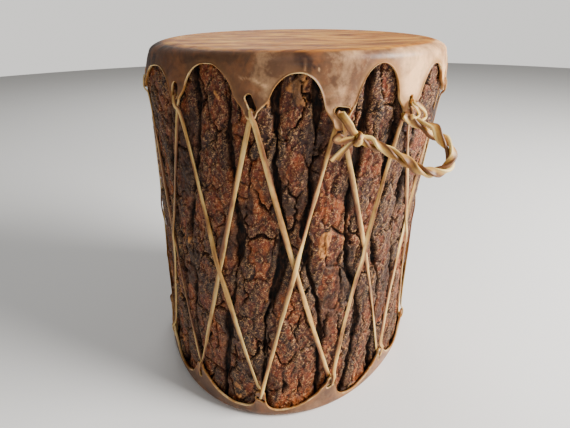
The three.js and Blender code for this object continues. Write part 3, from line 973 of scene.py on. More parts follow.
@dataclass
class LogShell:
    """The hollow log and the bark on it, which is made in bands one above another."""

    trunk: Trunk
    wall: float = 0.027
    inset: float = 0.0022
    top_rim: float = 0.009
    bottom_rim: float = 0.008
    bark_thick: float = 0.0092
    furrow_depth: float = 0.0084
    furrow_half: float = 0.0034
    furrow_open: Triple = (0.82, 0.85, 0.35)        # usual share of furrow_half, and how much
                                                    # it strays over long and short ways
    crack_depth: float = 0.0034
    crack_half: float = 0.0010
    crack_open: tuple[float, float] = (0.55, 1.3)   # usual share of crack_half, and its stray
    plate: tuple[float, float] = (0.018, 0.040)
    scale: tuple[float, float] = (0.0060, 0.0125)
    chip: tuple[float, float] = (0.0027, 0.0052)
    bands: int = 4
    band_rows: int = 91
    columns: int = 880
    crease: float = 62.0
    # painted shadow on the bark behind each slit: angle, height and reach
    painted_slit_shadows: Places = ()
    relief: Relief = Relief()
    bulges: tuple[tuple[float, ...], ...] = (       # angle, height, reach both ways, and size
        (-76, 0.322, 0.034, 0.026, 0.0030), (-78, 0.250, 0.034, 0.050, 0.0012),
        (66, 0.300, 0.022, 0.045, 0.0022),
    )
    bare_patches: Places = (
        (0.2, 0.331, 0.0078), (1.6, 0.321, 0.0056), (12.0, 0.196, 0.006), (11.5, 0.186, 0.0045),
    )

    def around(self, size: float) -> int:
        """How many steps of a size go round the trunk."""
        return int(round(2 * math.pi * self.trunk.base_radius / size))

    def drift_of(self, angle: Grid, z: Grid, width: float, height: float, salt: float) -> Grid:
        """Smooth noise on the trunk with the given grain."""
        count = self.around(width)
        return ring_drift(angle, z / height, count, salt)

    def cells_of(self, angle: Grid, z: Grid, size: tuple[float, float], stray: float,
                 salt: float) -> Cells:
        """Irregular cells on the trunk, with wavy edges.

        Args:
            angle: Angles.
            z: Heights.
            size: A cell's width and height.
            stray: How far the edges stray.
            salt: Tells one pattern from another.

        Returns:
            The cells.
        """
        count = self.around(size[0])
        width = 2 * math.pi * self.trunk.base_radius / count
        x = angle * self.trunk.arc
        risen = z
        for grain, share in ((size[0] * 0.7, stray), (size[0] * 0.3, stray * 0.45)):
            x = x + share * self.drift_of(angle, z, grain, grain, salt + 7)
            risen = risen + share * self.drift_of(angle, z, grain, grain, salt + 8)
        return cells(x, risen, width, size[1], count, salt)

    def bark(self, angle: Grid, z: Grid) -> Bark:
        """Works out the bark.

        Args:
            angle: Angle of each place.
            z: Height of each place.

        Returns:
            The bark's depth and marks at each place.
        """
        arc = self.trunk.arc
        relief = self.relief
        bent = angle + 0.8 * self.drift_of(angle, z, 0.018, 0.024, 31)
        bent = bent + 0.5 * self.drift_of(angle, z, 0.007, 0.009, 32)
        bent = bent + 0.2 * self.drift_of(angle, z, 0.0032, 0.0045, 33)
        nearest = np.full(angle.shape, 1.0)
        for i in range(self.trunk.furrows):
            gap = (bent - self.trunk.furrow_angle(i, z) + 180) % 360 - 180
            nearest = np.minimum(nearest, np.abs(gap) * arc)
        usual, long_stray, short_stray = self.furrow_open
        half = self.furrow_half * (usual + long_stray * self.drift_of(angle, z, 0.028, 0.040, 34)
                                   + short_stray * self.drift_of(angle, z, 0.010, 0.012, 35))
        half = np.maximum(half, 0.0003)
        inside = np.clip(1 - nearest / half, 0, 1)
        beside = np.maximum(nearest - half, 0)
        ragged = 1 + 0.40 * self.drift_of(angle, z, 0.0030, 0.009, 36)
        rut = self.furrow_depth * np.clip(inside ** 0.6 * ragged, 0, 1)
        plate = self.cells_of(bent, z, self.plate, 0.0042, 50)
        usual, stray = self.crack_open
        gape = self.crack_half * (usual + stray * self.drift_of(angle, z, 0.014, 0.018, 51))
        gape = np.maximum(gape, 0.0002)
        crack = self.crack_depth * np.clip(1 - plate.edge / gape, 0, 1) ** 0.7
        crack = crack * np.clip(gape / self.crack_half, 0, 1)
        cut = np.maximum(rut, crack)
        scale = self.cells_of(angle, z, self.scale, 0.0016, 60)
        chip = self.cells_of(angle, z, self.chip, 0.0010, 70)
        near_furrow = np.exp(-beside / relief.furrow_reach)
        dome = relief.plate_edge * np.exp(-plate.edge / relief.plate_reach)
        dome = dome + relief.furrow_edge * near_furrow
        sink = relief.plate_step * plate.mark - relief.plate_slope * plate.above / 0.02
        layers = relief.scale_step * scale.mark
        layers = layers + relief.scale_slope * (0.5 - scale.above / self.scale[1])
        layers = layers + relief.scale_edge * ease(1 - scale.edge / 0.0006)
        layers = layers + relief.chip_step * chip.mark
        layers = layers + relief.chip_slope * (0.5 - chip.above / self.chip[1])
        curl = self.drift_of(bent, z, 0.0036, 0.0062, 80)
        curl = curl + 0.5 * self.drift_of(angle, z, 0.0021, 0.0024, 81)
        step = curl * 2.6
        terrace = np.floor(step) + ease((step - np.floor(step) - 0.7) / 0.3)
        layers = layers + relief.terrace * (2 - terrace)
        grit = relief.grit * self.drift_of(angle, z, 0.0015, 0.0017, 82)
        bare = np.zeros(angle.shape)
        for spot_angle, spot_z, size in self.bare_patches:
            away = np.hypot((bent - spot_angle) * arc, (z - spot_z) * 0.7) / size
            bare = np.maximum(bare, ease((1.1 + 0.35 * curl - away) / 0.25))
        rare = self.drift_of(angle, z, 0.024, 0.036, 83) + 0.45 * curl
        bare = np.maximum(bare, ease((rare - 1.05) / 0.10)) * (1 - ease(cut / 0.002))
        depth = cut + dome + sink + layers * (1 - 0.75 * bare) + grit
        depth = depth + relief.bare * bare - relief.crown
        lowest = 0.0
        for bulge_angle, bulge_z, reach, reach_z, size in self.bulges:
            away = ((angle - bulge_angle) * arc / reach) ** 2 + ((z - bulge_z) / reach_z) ** 2
            lowest = lowest - size * 0.6 * np.exp(-away)
            depth = depth - size * np.exp(-away)
        depth = np.clip(depth, lowest, self.bark_thick - 0.0006)
        # proud places are painted paler: partly wear, partly painted highlight
        proud = (soften(depth, 3) - depth) / 0.00030
        # small hollows get painted shade
        low = (depth - soften(depth, 6)) / 0.0008
        grey = near_furrow * (0.8 + 0.6 * self.drift_of(angle, z, 0.008, 0.016, 84))
        zone = self.drift_of(bent, z, 0.020, 0.048, 85)
        zone = zone + 0.5 * self.drift_of(bent, z, 0.007, 0.012, 86)
        grey = np.maximum(grey, 0.9 * ease(zone * 1.8 - 0.35))
        dark = ease(rut / 0.0028)
        dark = np.maximum(dark, 0.55 * ease(crack / 0.0018))
        # painted shadow: the bark behind each slit is darkened like a furrow
        for spot_angle, spot_z, size in self.painted_slit_shadows:
            away = np.hypot((angle - spot_angle) * arc, z - spot_z)
            dark = np.maximum(dark, ease((size - away) / 0.004))
        tint = 0.40 * plate.mark + 0.35 * scale.mark + 0.25 * chip.mark
        return Bark(depth, dark, tint, np.clip(proud, 0, 1), np.clip(low, 0, 1),
                    np.clip(grey, 0, 1), bare)

    def band_edge(self, n: int, angle: Grid) -> Grid:
        """Height of the seam under band n, which wanders from plate to plate.

        Args:
            n: The band's number, from 0 at the bottom.
            angle: Angles from the front.

        Returns:
            The height at each angle.
        """
        low = self.bottom_rim
        high = self.trunk.height - self.top_rim
        if n in (0, self.bands):
            return np.full(angle.shape, low if n == 0 else high)
        stray = 0.004 * self.drift_of(angle, angle * 0, 0.03, 1, 90 + n)
        return low + (high - low) * n / self.bands + stray

    def build(self) -> list[bpy.types.Object]:
        """Makes the log and the bands of its bark.

        Returns:
            The pieces, with the log first.
        """
        angle = np.linspace(-180, 180, self.columns + 1)[None, :]
        heights = []
        for n in range(self.bands):
            low = self.band_edge(n, angle)
            high = self.band_edge(n + 1, angle)
            part = np.arange(self.band_rows)[:, None] / self.band_rows
            heights.append(low + (high - low) * part)
        heights.append(self.band_edge(self.bands, angle))
        z = np.concatenate(heights)
        angles = np.broadcast_to(angle, z.shape)
        bark = self.bark(angles, z)
        outer = self.trunk.place(angles, z, -self.inset - bark.depth)
        pieces = [self.core()]
        for n in range(self.bands):
            rows = slice(n * self.band_rows, (n + 1) * self.band_rows + 1)
            back = [self.trunk.place(angle[0], z[rows.start] * (1 - part) + z[rows.stop - 1] * part,
                                     -self.inset - self.bark_thick) for part in (1, 0.66, 0.33, 0)]
            points = np.concatenate([outer[rows], np.stack(back), outer[rows][:1]])
            marks = {}
            for name in ("furrow_and_shadow", "tint", "worn_and_highlit", "hollow_shade", "grey", "bare"):
                values = getattr(bark, name)[rows]
                marks[name] = np.concatenate([values, np.zeros((4, z.shape[1])), values[:1]])
            piece = wrapped_sheet(
                f"bark_band_{n + 1}", self.columns, len(points) - 1,
                lambda c, r, points=points: points[r, c], marks,
            )
            select_only(piece)
            bpy.ops.object.shade_smooth_by_angle(angle=math.radians(self.crease))
            pieces.append(piece)
        return pieces

    def core(self) -> bpy.types.Object:
        """Makes the log under its bark.

        Returns:
            The new piece.
        """
        height = self.trunk.height
        skin = 0.0028
        outer = self.inset + self.bark_thick - 0.0002
        profile = [(outer, self.bottom_rim), (self.wall * 0.7, skin), (self.wall, skin)]
        profile += [(self.wall, height * part) for part in (0.2, 0.4, 0.6, 0.8)]
        profile += [(self.wall, height - skin), (self.wall * 0.9, height - skin)]
        profile += [(outer, height - self.top_rim)]
        profile += [(outer, height * part) for part in (0.9, 0.75, 0.6, 0.45, 0.3, 0.15)]
        profile += profile[:1]
        angle = np.linspace(-180, 180, 193)
        rows = np.stack([
            self.trunk.place(angle, np.full(angle.shape, z), -inset) for inset, z in profile
        ])
        return wrapped_sheet("hollow_log", 192, len(rows) - 1, lambda c, r: rows[r, c])


# ---- Heads -----------------------------------------------------------------------------


@dataclass(frozen=True)
class Tab:
    """One tab of a skirt, with its slit."""

    angle: float
    length: float
    crown: float = 0.0           # depth of the scallop that follows, or 0 for a usual one
    tilt: float = 0.0            # the slit's lean, its upper end towards growing angles
    wide: float = 0.0044
    tall: float = 0.0105
    shift: float = 0.0           # the slit's place beside the tab's middle
    drop: float = 0.0            # the slit's place below its usual height


@dataclass
class Head:
    """One rawhide head: its flat skin, its rounded rim and its scalloped skirt."""

    trunk: Trunk
    end: End
    front: tuple[Tab, ...]
    rim: float
    reach: float                 # how far the rounded rim reaches in over the end
    side_reach: float            # how much further it reaches at the two sides
    arch: float
    plain_length: float
    skews: tuple[float, ...] = ()
    widths: tuple[tuple[float, float], ...] = ()    # the two sides' bay_width, where it differs
    count: int = 13
    skin: float = 0.002
    lift: float = 0.0012
    tip_width: float = 0.009
    tip_round: float = 0.003
    arch_wobble: float = 0.003
    wobble: float = 0.008
    slit_to_tip: float = 0.0075
    slit_height: float = 0.011
    slit_room: float = 0.0012    # how far inside a slit's end the thong turns out
    # the painted shadow on the bark behind a slit reaches this far
    slit_shade: float = 0.009    # how far the dark behind a slit reaches
    slit_cut: float = 0.008      # how far a slit's cutter reaches to both sides of the skin
    slit_sides: int = 20
    lip: float = 0.0007
    lip_steps: int = 36
    flare: float = 0.0007        # how far the skirt's edge turns out
    lift_curve: float = 1.15     # how late a tab starts to stand off the bark
    face_rows: int = 6
    wrinkles: tuple[float, float] = (0.0004, 0.00018)       # broad and fine ones of the face
    pulls: tuple[float, float] = (0.00035, 0.00012)         # broad and fine ones of the skirt
    paleness: float = 0.44       # the skirt's usual shade
    pale_drift: float = 0.18     # how far it strays from place to place
    # painted shade and light by angle: the wide darkening at -62 paints shade on the side away from
    # the key light; the two narrow ones make a darker and a paler band near the front
    shades: Places = ((-62, 34, -0.34), (-20, 10, -0.10), (8, 12, 0.12))    # angle, half width
                                                    # in degrees, and how much paler
    # painted light: the hide is painted paler between its front and its right, where the key light
    # falls
    painted_light_side: float = 0.0       # how much paler the hide is between its front and its right
    bay_width: float = 0.76      # how much of a scallop's width lies above the tabs' shoulders
    bay_sides: float = 0.82      # how upright its sides are
    shoulder: float = 0.76       # where the tabs start to narrow to their tips
    bay_steps: int = 38
    tip_steps: int = 6
    streaks: tuple[tuple[float, ...], ...] = ()     # angle, height, angle, height, half width,
                                                    # and how pale (or dark, below 0) it is
    tabs: list[Tab] = field(default_factory=list)

    def __post_init__(self) -> None:
        """Places the tabs: those at the front one by one, and the others evenly behind."""
        self.tabs = list(self.front)
        last = self.front[-1].angle
        gaps = self.count - len(self.front) + 1
        step = (self.front[0].angle + 360 - last) / gaps
        for n in range(1, gaps):
            stray = self.wobble * float(chance(n, self.plain_length * 1000, 4) - 0.5)
            tilt = 30 * float(chance(n, 3, 6) - 0.5)
            self.tabs.append(Tab(last + n * step, self.plain_length + stray, tilt=tilt))

    @property
    def to_tip(self) -> int:
        """Which way along Z a skirt runs from its rim."""
        return -1 if self.end is End.TOP else 1

    def level(self, depth: Grid) -> Grid:
        """Height of a place that far from the end plane."""
        return self.trunk.height - depth if self.end is End.TOP else depth

    def tab_lift(self, tab: Tab, depth: float) -> float:
        """How far a tab's middle stands off the outline at a distance from the end plane."""
        return self.lift * (depth - self.rim) / (tab.length - self.rim)

    def edge_line(self) -> tuple[Grid, Grid, Grid]:
        """Where the skirt's edge runs.

        Returns:
            Angle, distance from the end plane and lift of each column, first one repeated.
        """
        angles = []
        depths = []
        lifts = []
        half_tip = self.tip_width / 2 / self.trunk.arc
        for n, tab in enumerate(self.tabs):
            following = self.tabs[(n + 1) % self.count]
            end = following.angle + (0 if n + 1 < self.count else 360)
            half = (end - tab.angle) / 2
            stray = float(chance(n, round(self.arch * 1000), 5) - 0.3)
            crown = tab.crown or self.arch + self.arch_wobble * stray
            skew = self.skews[n] if n < len(self.skews) else 0.0
            s = np.linspace(-1, 1, self.bay_steps + 1)
            turn = s * math.pi / 2
            sides = self.widths[n] if n < len(self.widths) else (self.bay_width,) * 2
            width = np.where(s < 0, *sides)
            v = width * np.sin(turn)
            v = v + (1 - width) * np.sign(s) * ease((np.abs(s) - self.shoulder)
                                                    / (1 - self.shoulder))
            sunk = self.bay_sides * (1 - np.cos(turn)) + (1 - self.bay_sides) * s * s
            foot = np.where(v < 0, tab.length, following.length) - self.tip_round
            slid = v + skew * (1 - v * v)
            bay_angle = tab.angle + half + slid * (half - half_tip)
            bay_depth = crown + (foot - crown) * sunk
            bay_lift = self.lift * np.maximum(0, (np.abs(v) - 0.75) / 0.25)
            corner = np.radians(np.linspace(0, 90, self.tip_steps + 1))[1:]
            near_angle = tab.angle + half_tip * np.cos(corner[::-1])
            near_depth = tab.length - self.tip_round * (1 - np.sin(corner[::-1]))
            far_angle = end - half_tip * np.cos(corner[:-1])
            far_depth = following.length - self.tip_round * (1 - np.sin(corner[:-1]))
            angles.append(np.concatenate([near_angle, bay_angle, far_angle]))
            depths.append(np.concatenate([near_depth, bay_depth, far_depth]))
            lifts.append(np.concatenate([
                np.full(len(near_angle), self.lift), bay_lift, np.full(len(far_angle), self.lift),
            ]))
        angle = np.concatenate([*angles, [angles[0][0] + 360]])
        depth = np.concatenate([*depths, [depths[0][0]]])
        lift = np.concatenate([*lifts, [lifts[0][0]]])
        uneven = 0.0005 * ring_drift(angle, depth * 0, 110, 13)
        return angle, depth + uneven, lift

    def surface(self) -> tuple[Grid, dict[str, Grid]]:
        """Works out the head's points, from the middle of its face round to its inner side.

        Returns:
            Points shaped (rows, columns, 3), and the marks for each of them.
        """
        angle, edge_depth, edge_lift = self.edge_line()
        rows = []
        side = []
        cut = []
        border = []
        ones = np.ones(angle.shape)

        def add(inset: Grid, depth: Grid, is_side: float, is_cut: float) -> None:
            """Adds a row of points with its marks.

            Args:
                inset: How far in from the outline each point lies.
                depth: Its distance from the end plane.
                is_side: 1 on the skirt, 0 on the face.
                is_cut: 1 on the cut edge, 0 elsewhere.
            """
            rows.append(self.trunk.place(angle, self.level(depth), -inset * ones))
            side.append(is_side * ones)
            cut.append(is_cut * ones)
            border.append(self.border(angle, depth, edge_depth) if is_side == 1.0 else 0 * ones)

        rounding = self.reach + self.side_reach * self.trunk.sideness(angle)
        span = self.trunk.radius(angle, self.level(0 * ones)) - rounding
        for part in np.linspace(0, 1, self.face_rows)[:-1]:
            inset = rounding + span * (1 - part)
            add(inset, self.wrinkle(angle, part * span), 0.0, 0.0)
        for turn in np.linspace(0, 90, 14):
            turned = math.radians(turn)
            inset = rounding * (1 - math.sin(turned))
            depth = self.rim * (1 - math.cos(turned)) * ones
            add(inset, depth, float(ease(np.array((turn - 24) / 16))), 0.0)
        for part in np.linspace(0, 1, 26)[1:]:
            depth = self.rim + (edge_depth - self.rim) * part
            flare = self.flare * ease((part - 0.86) / 0.14)
            relief = self.creases(angle, depth) * ease(part / 0.15) * ease((1 - part) / 0.08)
            add(-edge_lift * part ** self.lift_curve - flare - relief, depth, 1.0,
                float(ease(np.array((part - 0.965) / 0.03))))
        for turn in (30, 60, 90, 120, 150):
            turned = math.radians(turn)
            out = self.flare + edge_lift - self.skin / 2 * (1 - math.cos(turned))
            add(-out, edge_depth + self.skin * 0.35 * math.sin(turned), 1.0, 1.0)
        for part in np.linspace(1, 0, 8)[:-1]:
            depth = self.rim + (edge_depth - self.rim) * part
            add(self.skin - edge_lift * part, depth, 1.0, 1.0 if part > 0.99 else 0.0)
        for turn in (90, 60, 30, 0):
            turned = math.radians(turn)
            inset = rounding - (rounding - self.skin) * math.sin(turned)
            depth = self.rim - (self.rim - self.skin) * math.cos(turned)
            add(inset, depth * ones, 1.0, 0.0)
        for part in (0.5, 0.0):
            add(rounding + span * (1 - part), self.skin * ones, 0.0, 0.0)
        points = np.stack(rows)
        points[:, -1] = points[:, 0]
        marks = {"side": np.stack(side), "cut": np.stack(cut), "border": np.stack(border)}
        marks["stain_and_light"] = self.stains_and_light(points, angle)
        return points, marks

    def border(self, angle: Grid, depth: Grid, edge_depth: Grid) -> Grid:
        """How golden the hide is for being thin and close to the skirt's edge, painted stronger on
        the lit right as painted light.

        Args:
            angle: Angle of each column.
            depth: Distance of each place from the end plane.
            edge_depth: The same for the edge below it.

        Returns:
            How golden each place is, from 0 to 1.
        """
        along = angle * self.trunk.arc
        away = np.hypot(along[:, None] - along, depth[:, None] - edge_depth).min(1)
        turned = (angle + 180) % 360 - 180
        # painted light: the golden border is laid stronger between the front and the right, where
        # the key light falls
        right = ease((turned - 8) / 24) * ease((120 - turned) / 40)
        return np.exp(-((away / 0.0034) ** 2)) * (0.20 + 0.70 * right)

    def wrinkle(self, angle: Grid, reach: Grid) -> Grid:
        """Shallow wrinkles that run across the playing face, as depth below its plane.

        Args:
            angle: Angle of each place.
            reach: Its distance from the face's middle.

        Returns:
            The depth of each place, 0 on the lower head.
        """
        turn = np.radians(angle)
        x = reach * np.sin(turn)
        y = -reach * np.cos(turn)
        bent = y + 0.012 * np.sin(x * 21 + 1.3) + 0.10 * x
        wave = drift(x / 0.060 + 40, bent / 0.0150 + 40, LINE_SQUARES, 21)
        fine = drift(x / 0.024 + 40, bent / 0.0080 + 40, LINE_SQUARES, 22)
        depth = self.wrinkles[0] * (1 + wave) + self.wrinkles[1] * (1 + fine)
        return depth if self.end is End.TOP else depth * 0

    def creases(self, angle: Grid, depth: Grid) -> Grid:
        """Gentle ups and downs of the skirt where it is pulled tight over the bark.

        Args:
            angle: Angle of each place.
            depth: Its distance from the end plane.

        Returns:
            How far each place stands out or in.
        """
        soft = ring_drift(angle, depth / 0.014, 60, 23)
        fine = ring_drift(angle, depth / 0.012, 190, 24)
        return self.pulls[0] * soft + self.pulls[1] * fine

    def stains_and_light(self, points: Grid, angle: Grid) -> Grid:
        """Darker and paler places on the skirt: stains, with painted shade and painted light by
        angle.

        Args:
            points: The head's points.
            angle: The angle of each of their columns.

        Returns:
            How pale each place is, mostly from 0 to 1.
        """
        z = points[..., 2]
        wide = ring_drift(angle, z / 0.05, 14, 25)
        turned = (angle + 180) % 360 - 180
        pale = self.paleness + self.pale_drift * wide
        # painted shade and light by angle
        for middle, half, size in self.shades:
            pale = pale + size * np.exp(-(((turned - middle) / half) ** 2))
        # painted light on the right, where the key light falls
        pale = pale + self.painted_light_side * ease((turned - 20) / 16) * ease((120 - turned) / 40)
        wander = 0.0012 * ring_drift(angle, z / 0.004, 240, 26)
        x = angle * self.trunk.arc + wander
        for angle_1, z_1, angle_2, z_2, half, strength in self.streaks:
            run_x = (angle_2 - angle_1) * self.trunk.arc
            run_z = z_2 - z_1
            from_x = x - angle_1 * self.trunk.arc
            share = (from_x * run_x + (z - z_1) * run_z) / (run_x ** 2 + run_z ** 2)
            share = np.clip(share, 0, 1)
            away = np.hypot(from_x - share * run_x, z + wander - z_1 - share * run_z)
            pale = pale + strength * ease(1.5 - away / half)
        return pale

    def slit_end(self, tab: Tab) -> float:
        """Height of the thong where it turns out through a slit, at the end next to the tip.

        Args:
            tab: The tab.

        Returns:
            The height.
        """
        lean = math.radians(tab.tilt)
        half = abs(tab.tall / 2 * math.cos(lean)) + abs(tab.wide / 2 * math.sin(lean))
        middle = self.level(tab.length - self.slit_to_tip - self.slit_height / 2) - tab.drop
        return float(middle + self.to_tip * (half - self.slit_room))

    def slit_shadows(self) -> list[Triple]:
        """Finds the places behind the slits where shadow is painted on the bark.

        Returns:
            Angle, height and reach of each.
        """
        middle = self.slit_to_tip + self.slit_height / 2
        return [
            (tab.angle, float(self.level(tab.length - middle)) - tab.drop, self.slit_shade)
            for tab in self.tabs
        ]

    def slit_outline(self, tab: Tab, grow: float, count: int) -> Grid:
        """The slit's outline in its own plane, grown by a margin.

        Args:
            tab: The tab.
            grow: The margin.
            count: How many points to return.

        Returns:
            Points (sideways, up), shaped (count, 2).
        """
        turn = full_turn(count)
        wide = tab.wide / 2 + grow
        straight = max(0.0, tab.tall / 2 + grow - wide)
        x = wide * np.cos(turn)
        y = wide * np.sin(turn) + np.where(np.sin(turn) >= 0, straight, -straight)
        lean = math.radians(tab.tilt)
        flat_x = x * math.cos(lean) + y * math.sin(lean) + tab.shift
        flat_y = y * math.cos(lean) - x * math.sin(lean)
        return np.stack([flat_x, flat_y], 1)

    def on_tab(self, tab: Tab, flat: Grid, proud: float) -> Grid:
        """Puts points of a slit's plane on the tab's surface.

        Args:
            tab: The tab.
            flat: Points (sideways, up) about the slit's middle.
            proud: How far above the surface they stand.

        Returns:
            Points shaped (n, 3).
        """
        middle = tab.length - self.slit_to_tip - self.slit_height / 2
        z = self.level(middle) - tab.drop + flat[:, 1]
        depth = np.abs(z - self.level(0.0))
        lift = self.lift * ((depth - self.rim) / (tab.length - self.rim)) ** self.lift_curve
        return self.trunk.place(tab.angle + flat[:, 0] / self.trunk.arc, z, lift + proud)

    def build(self, name: str) -> bpy.types.Object:
        """Makes the head, cuts its slits and rolls their lips.

        Args:
            name: The new piece's name.

        Returns:
            The new piece.
        """
        points, marks = self.surface()
        piece = wrapped_sheet(
            name, points.shape[1] - 1, points.shape[0] - 1, lambda c, r: points[r, c], marks
        )
        cutters = []
        lips = []
        for tab in self.tabs:
            outline = self.slit_outline(tab, 0.0, self.slit_sides)
            inner = self.on_tab(tab, outline, -self.slit_cut)
            outer = self.on_tab(tab, outline, self.slit_cut)
            closing = [np.repeat(ring.mean(0)[None], self.slit_sides, 0) for ring in (inner, outer)]
            rows = np.stack([closing[0], inner, outer, closing[1]])
            rows = np.concatenate([rows, rows[:, :1]], axis=1)
            # the slit's walls take these marks from the cutter; the low paleness value paints shade
            # inside each slit
            looks = (("side", 1.0), ("cut", 0.3), ("stain_and_light", -0.2), ("border", 0.0))
            marks = {mark: np.full(rows.shape[:2], value) for mark, value in looks}
            cutters.append(wrapped_sheet(
                "cutter", self.slit_sides, 3, lambda c, r, rows=rows: rows[r, c], marks
            ))
            outline = self.slit_outline(tab, self.lip * 0.3, self.lip_steps)
            line = self.on_tab(tab, outline, -0.0004)
            around = np.linspace(0, 2 * math.pi, self.lip_steps, endpoint=False)
            thick = self.lip * (1.25 - 0.65 * np.cos(around - math.radians(30 + tab.tilt)))
            ring = Strip(line, np.repeat(outward(tab.angle)[None], self.lip_steps, 0),
                         thick * 1.5, thick, 8, 0.0, 2.2)
            lips.append(ring.build("lip", ring=True))
        cutter = joined(cutters, "cutters")
        select_only(piece)
        modifier = piece.modifiers.new("slits", "BOOLEAN")
        modifier.operation = "DIFFERENCE"
        modifier.solver = "EXACT"
        modifier.object = cutter
        bpy.ops.object.modifier_apply(modifier=modifier.name)
        bpy.data.objects.remove(cutter)
        for lip in lips:
            for mark, value in (("cut", 1.0), ("side", 1.0), ("stain_and_light", 0.5), ("border", 1.0)):
                layer = lip.data.attributes.new(mark, "FLOAT", "POINT")
                layer.data.foreach_set("value", np.full(len(lip.data.vertices), value))
        return joined([piece, *lips], name)


# ---- Lacing ----------------------------------------------------------------------------


@dataclass(frozen=True)
class Stop:
    """A place where the thong passes through a tab's slit."""

    side: Head
    tab: Tab
    angle: float                 # growing all the way round the drum
    gap: int                     # the tab's number on its head
    z: float


@dataclass
class Lacing:
    """The one long thong that pulls the two heads together."""

    trunk: Trunk
    top: Head
    bottom: Head
    width: float = 0.0047
    thick: float = 0.0015
    clear: float = 0.00035
    slope_room: float = 0.0003
    bedding: float = 0.0017      # how far its inner side lies below the hide's
    behind_tip: float = 0.0045
    splice_tab: int = 9
    past_tip: float = 0.0005
    pinch: float = 0.34          # how much it narrows in a slit
    landing: float = 0.009
    landing_lift: float = 0.0016
    dive: float = 0.007
    down_leg_over: frozenset[int] = frozenset({1, 4, 6, 9, 11})
    per_leg: int = 110

    def build(self) -> bpy.types.Object:
        """Makes the thong along its whole way.

        Returns:
            The new piece.
        """
        on_bark = self.clear + self.thick / 2 - self.top.skin - self.bedding
        over = self.clear + self.thick / 2 + self.slope_room
        stations = []
        legs = 2 * self.top.count
        for step in range(legs):
            here = self.stop(step)
            there = self.stop(step + 1)
            stations += self.turn(here, on_bark, over)
            stations += self.leg(here, there, on_bark, over)
        route = np.array(stations)
        count = legs * self.per_leg
        line = smooth_line(route, count)
        across = unit(line[:, 3:6])
        normal = np.cross(tangents(line[:, :3]), across)
        run = np.arange(count) / self.per_leg
        roll = 0.75 * line_drift(run * 3.1, 1) * line[:, 6]
        across = across * np.cos(roll)[:, None] + normal * np.sin(roll)[:, None]
        width = self.width * (0.93 + 0.24 * line_drift(run * 2.9, 2)
                              + 0.13 * line_drift(run * 12, 3))
        width = width * (1 - 0.3 * ease(line_drift(run * 2.3, 4) * 1.6 - 0.5))
        nub = ease((line_drift(run * 9.5, 6) - 0.86) / 0.12)
        width = width * (1 + 0.32 * nub) * (1 - self.pinch * ease(1 - line[:, 6] / 0.12))
        thick = self.thick * (0.95 + 0.15 * line_drift(run * 9, 5) + 0.3 * nub)
        strip = Strip(line[:, :3], across, width, thick, 10, 0.05, 2.6)
        return strip.build("thong_lacing")

    def stop(self, step: int) -> Stop:
        """The thong's stop at one tab.

        Args:
            step: The stop's number along the route.

        Returns:
            The stop.
        """
        side = self.top if step % 2 == 0 else self.bottom
        count = self.splice_tab + step
        tab = side.tabs[count % side.count]
        angle = tab.angle + 360 * (count // side.count)
        z = side.slit_end(tab)
        return Stop(side, tab, angle, count % side.count, z)

    def station(self, angle: float, z: float, offset: float, tilt: float, free: float) -> list:
        """A place on the route, which way the thong's width lies there, and its freedom.

        Args:
            angle: Angle from the front.
            z: Height.
            offset: Distance outwards from the outline.
            tilt: How far the width leans from level, in radians.
            free: How much the thong may roll there, from 0 to 1.

        Returns:
            Seven numbers: the place, the way across and the freedom.
        """
        across = sideways(angle) * math.cos(tilt) + UPWARD * math.sin(tilt)
        return [*self.trunk.place(angle, z, offset), *across, free]

    def turn(self, stop: Stop, on_bark: float, over: float) -> list[list]:
        """The turn out through a slit, over the strip of skin next to it.

        Args:
            stop: Where the slit is.
            on_bark: Offset of the thong's middle on the bark.
            over: The same over the skin.

        Returns:
            The turn's stations.
        """
        side = stop.side
        back = -side.to_tip
        depth = abs(stop.z - float(side.level(0.0)))
        lift = side.tab_lift(stop.tab, depth)
        low = on_bark
        high = lift + over
        middle = (low + high) / 2
        bend = (high - low) / 2
        places = [(-self.behind_tip, low)]
        for degrees in (-80, -40, 0, 40, 80):
            turned = math.radians(degrees)
            places.append((bend * 0.85 * math.cos(turned), middle + bend * math.sin(turned)))
        return [
            self.station(stop.angle, stop.z + back * run, offset, 0.0, 0.0)
            for run, offset in places
        ]

    def leg(self, here: Stop, there: Stop, on_bark: float, over: float) -> list[list]:
        """The straight run over the bark from one stop to behind the next tab.

        Args:
            here: Where it starts.
            there: Where it ends.
            on_bark: Offset of the thong's middle on the bark.
            over: The same over the skin.

        Returns:
            The run's stations.
        """
        rise = there.z - here.z
        swing = there.angle - here.angle
        lean = -math.atan(swing * self.trunk.arc / rise)
        down = rise < 0
        on_top = (here.gap in self.down_leg_over) == down
        from_tip = float(here.side.level(here.tab.length))
        to_tip = float(there.side.level(there.tab.length))
        start = from_tip + here.side.to_tip * self.landing
        end = to_tip + there.side.to_tip * self.dive
        stops = [
            (from_tip + here.side.to_tip * self.past_tip, here.side.lift + over, 0.1),
            (start, on_bark + self.landing_lift, 0.5),
        ]
        for part in (0.2, 0.4, 0.5, 0.6, 0.8):
            raised = (self.thick + 2 * self.clear) if part == 0.5 and on_top else 0.0
            if part in (0.4, 0.6) and on_top:
                raised = self.thick * 0.3
            free = 0.2 if part == 0.5 else 1.0
            stops.append((start + (end - start) * part, on_bark + raised, free))
        stops.append((end, on_bark, 0.4))
        return [
            self.station(here.angle + swing * (z - here.z) / rise, z, offset, lean, free)
            for z, offset, free in stops
        ]


# ---- Handle ----------------------------------------------------------------------------


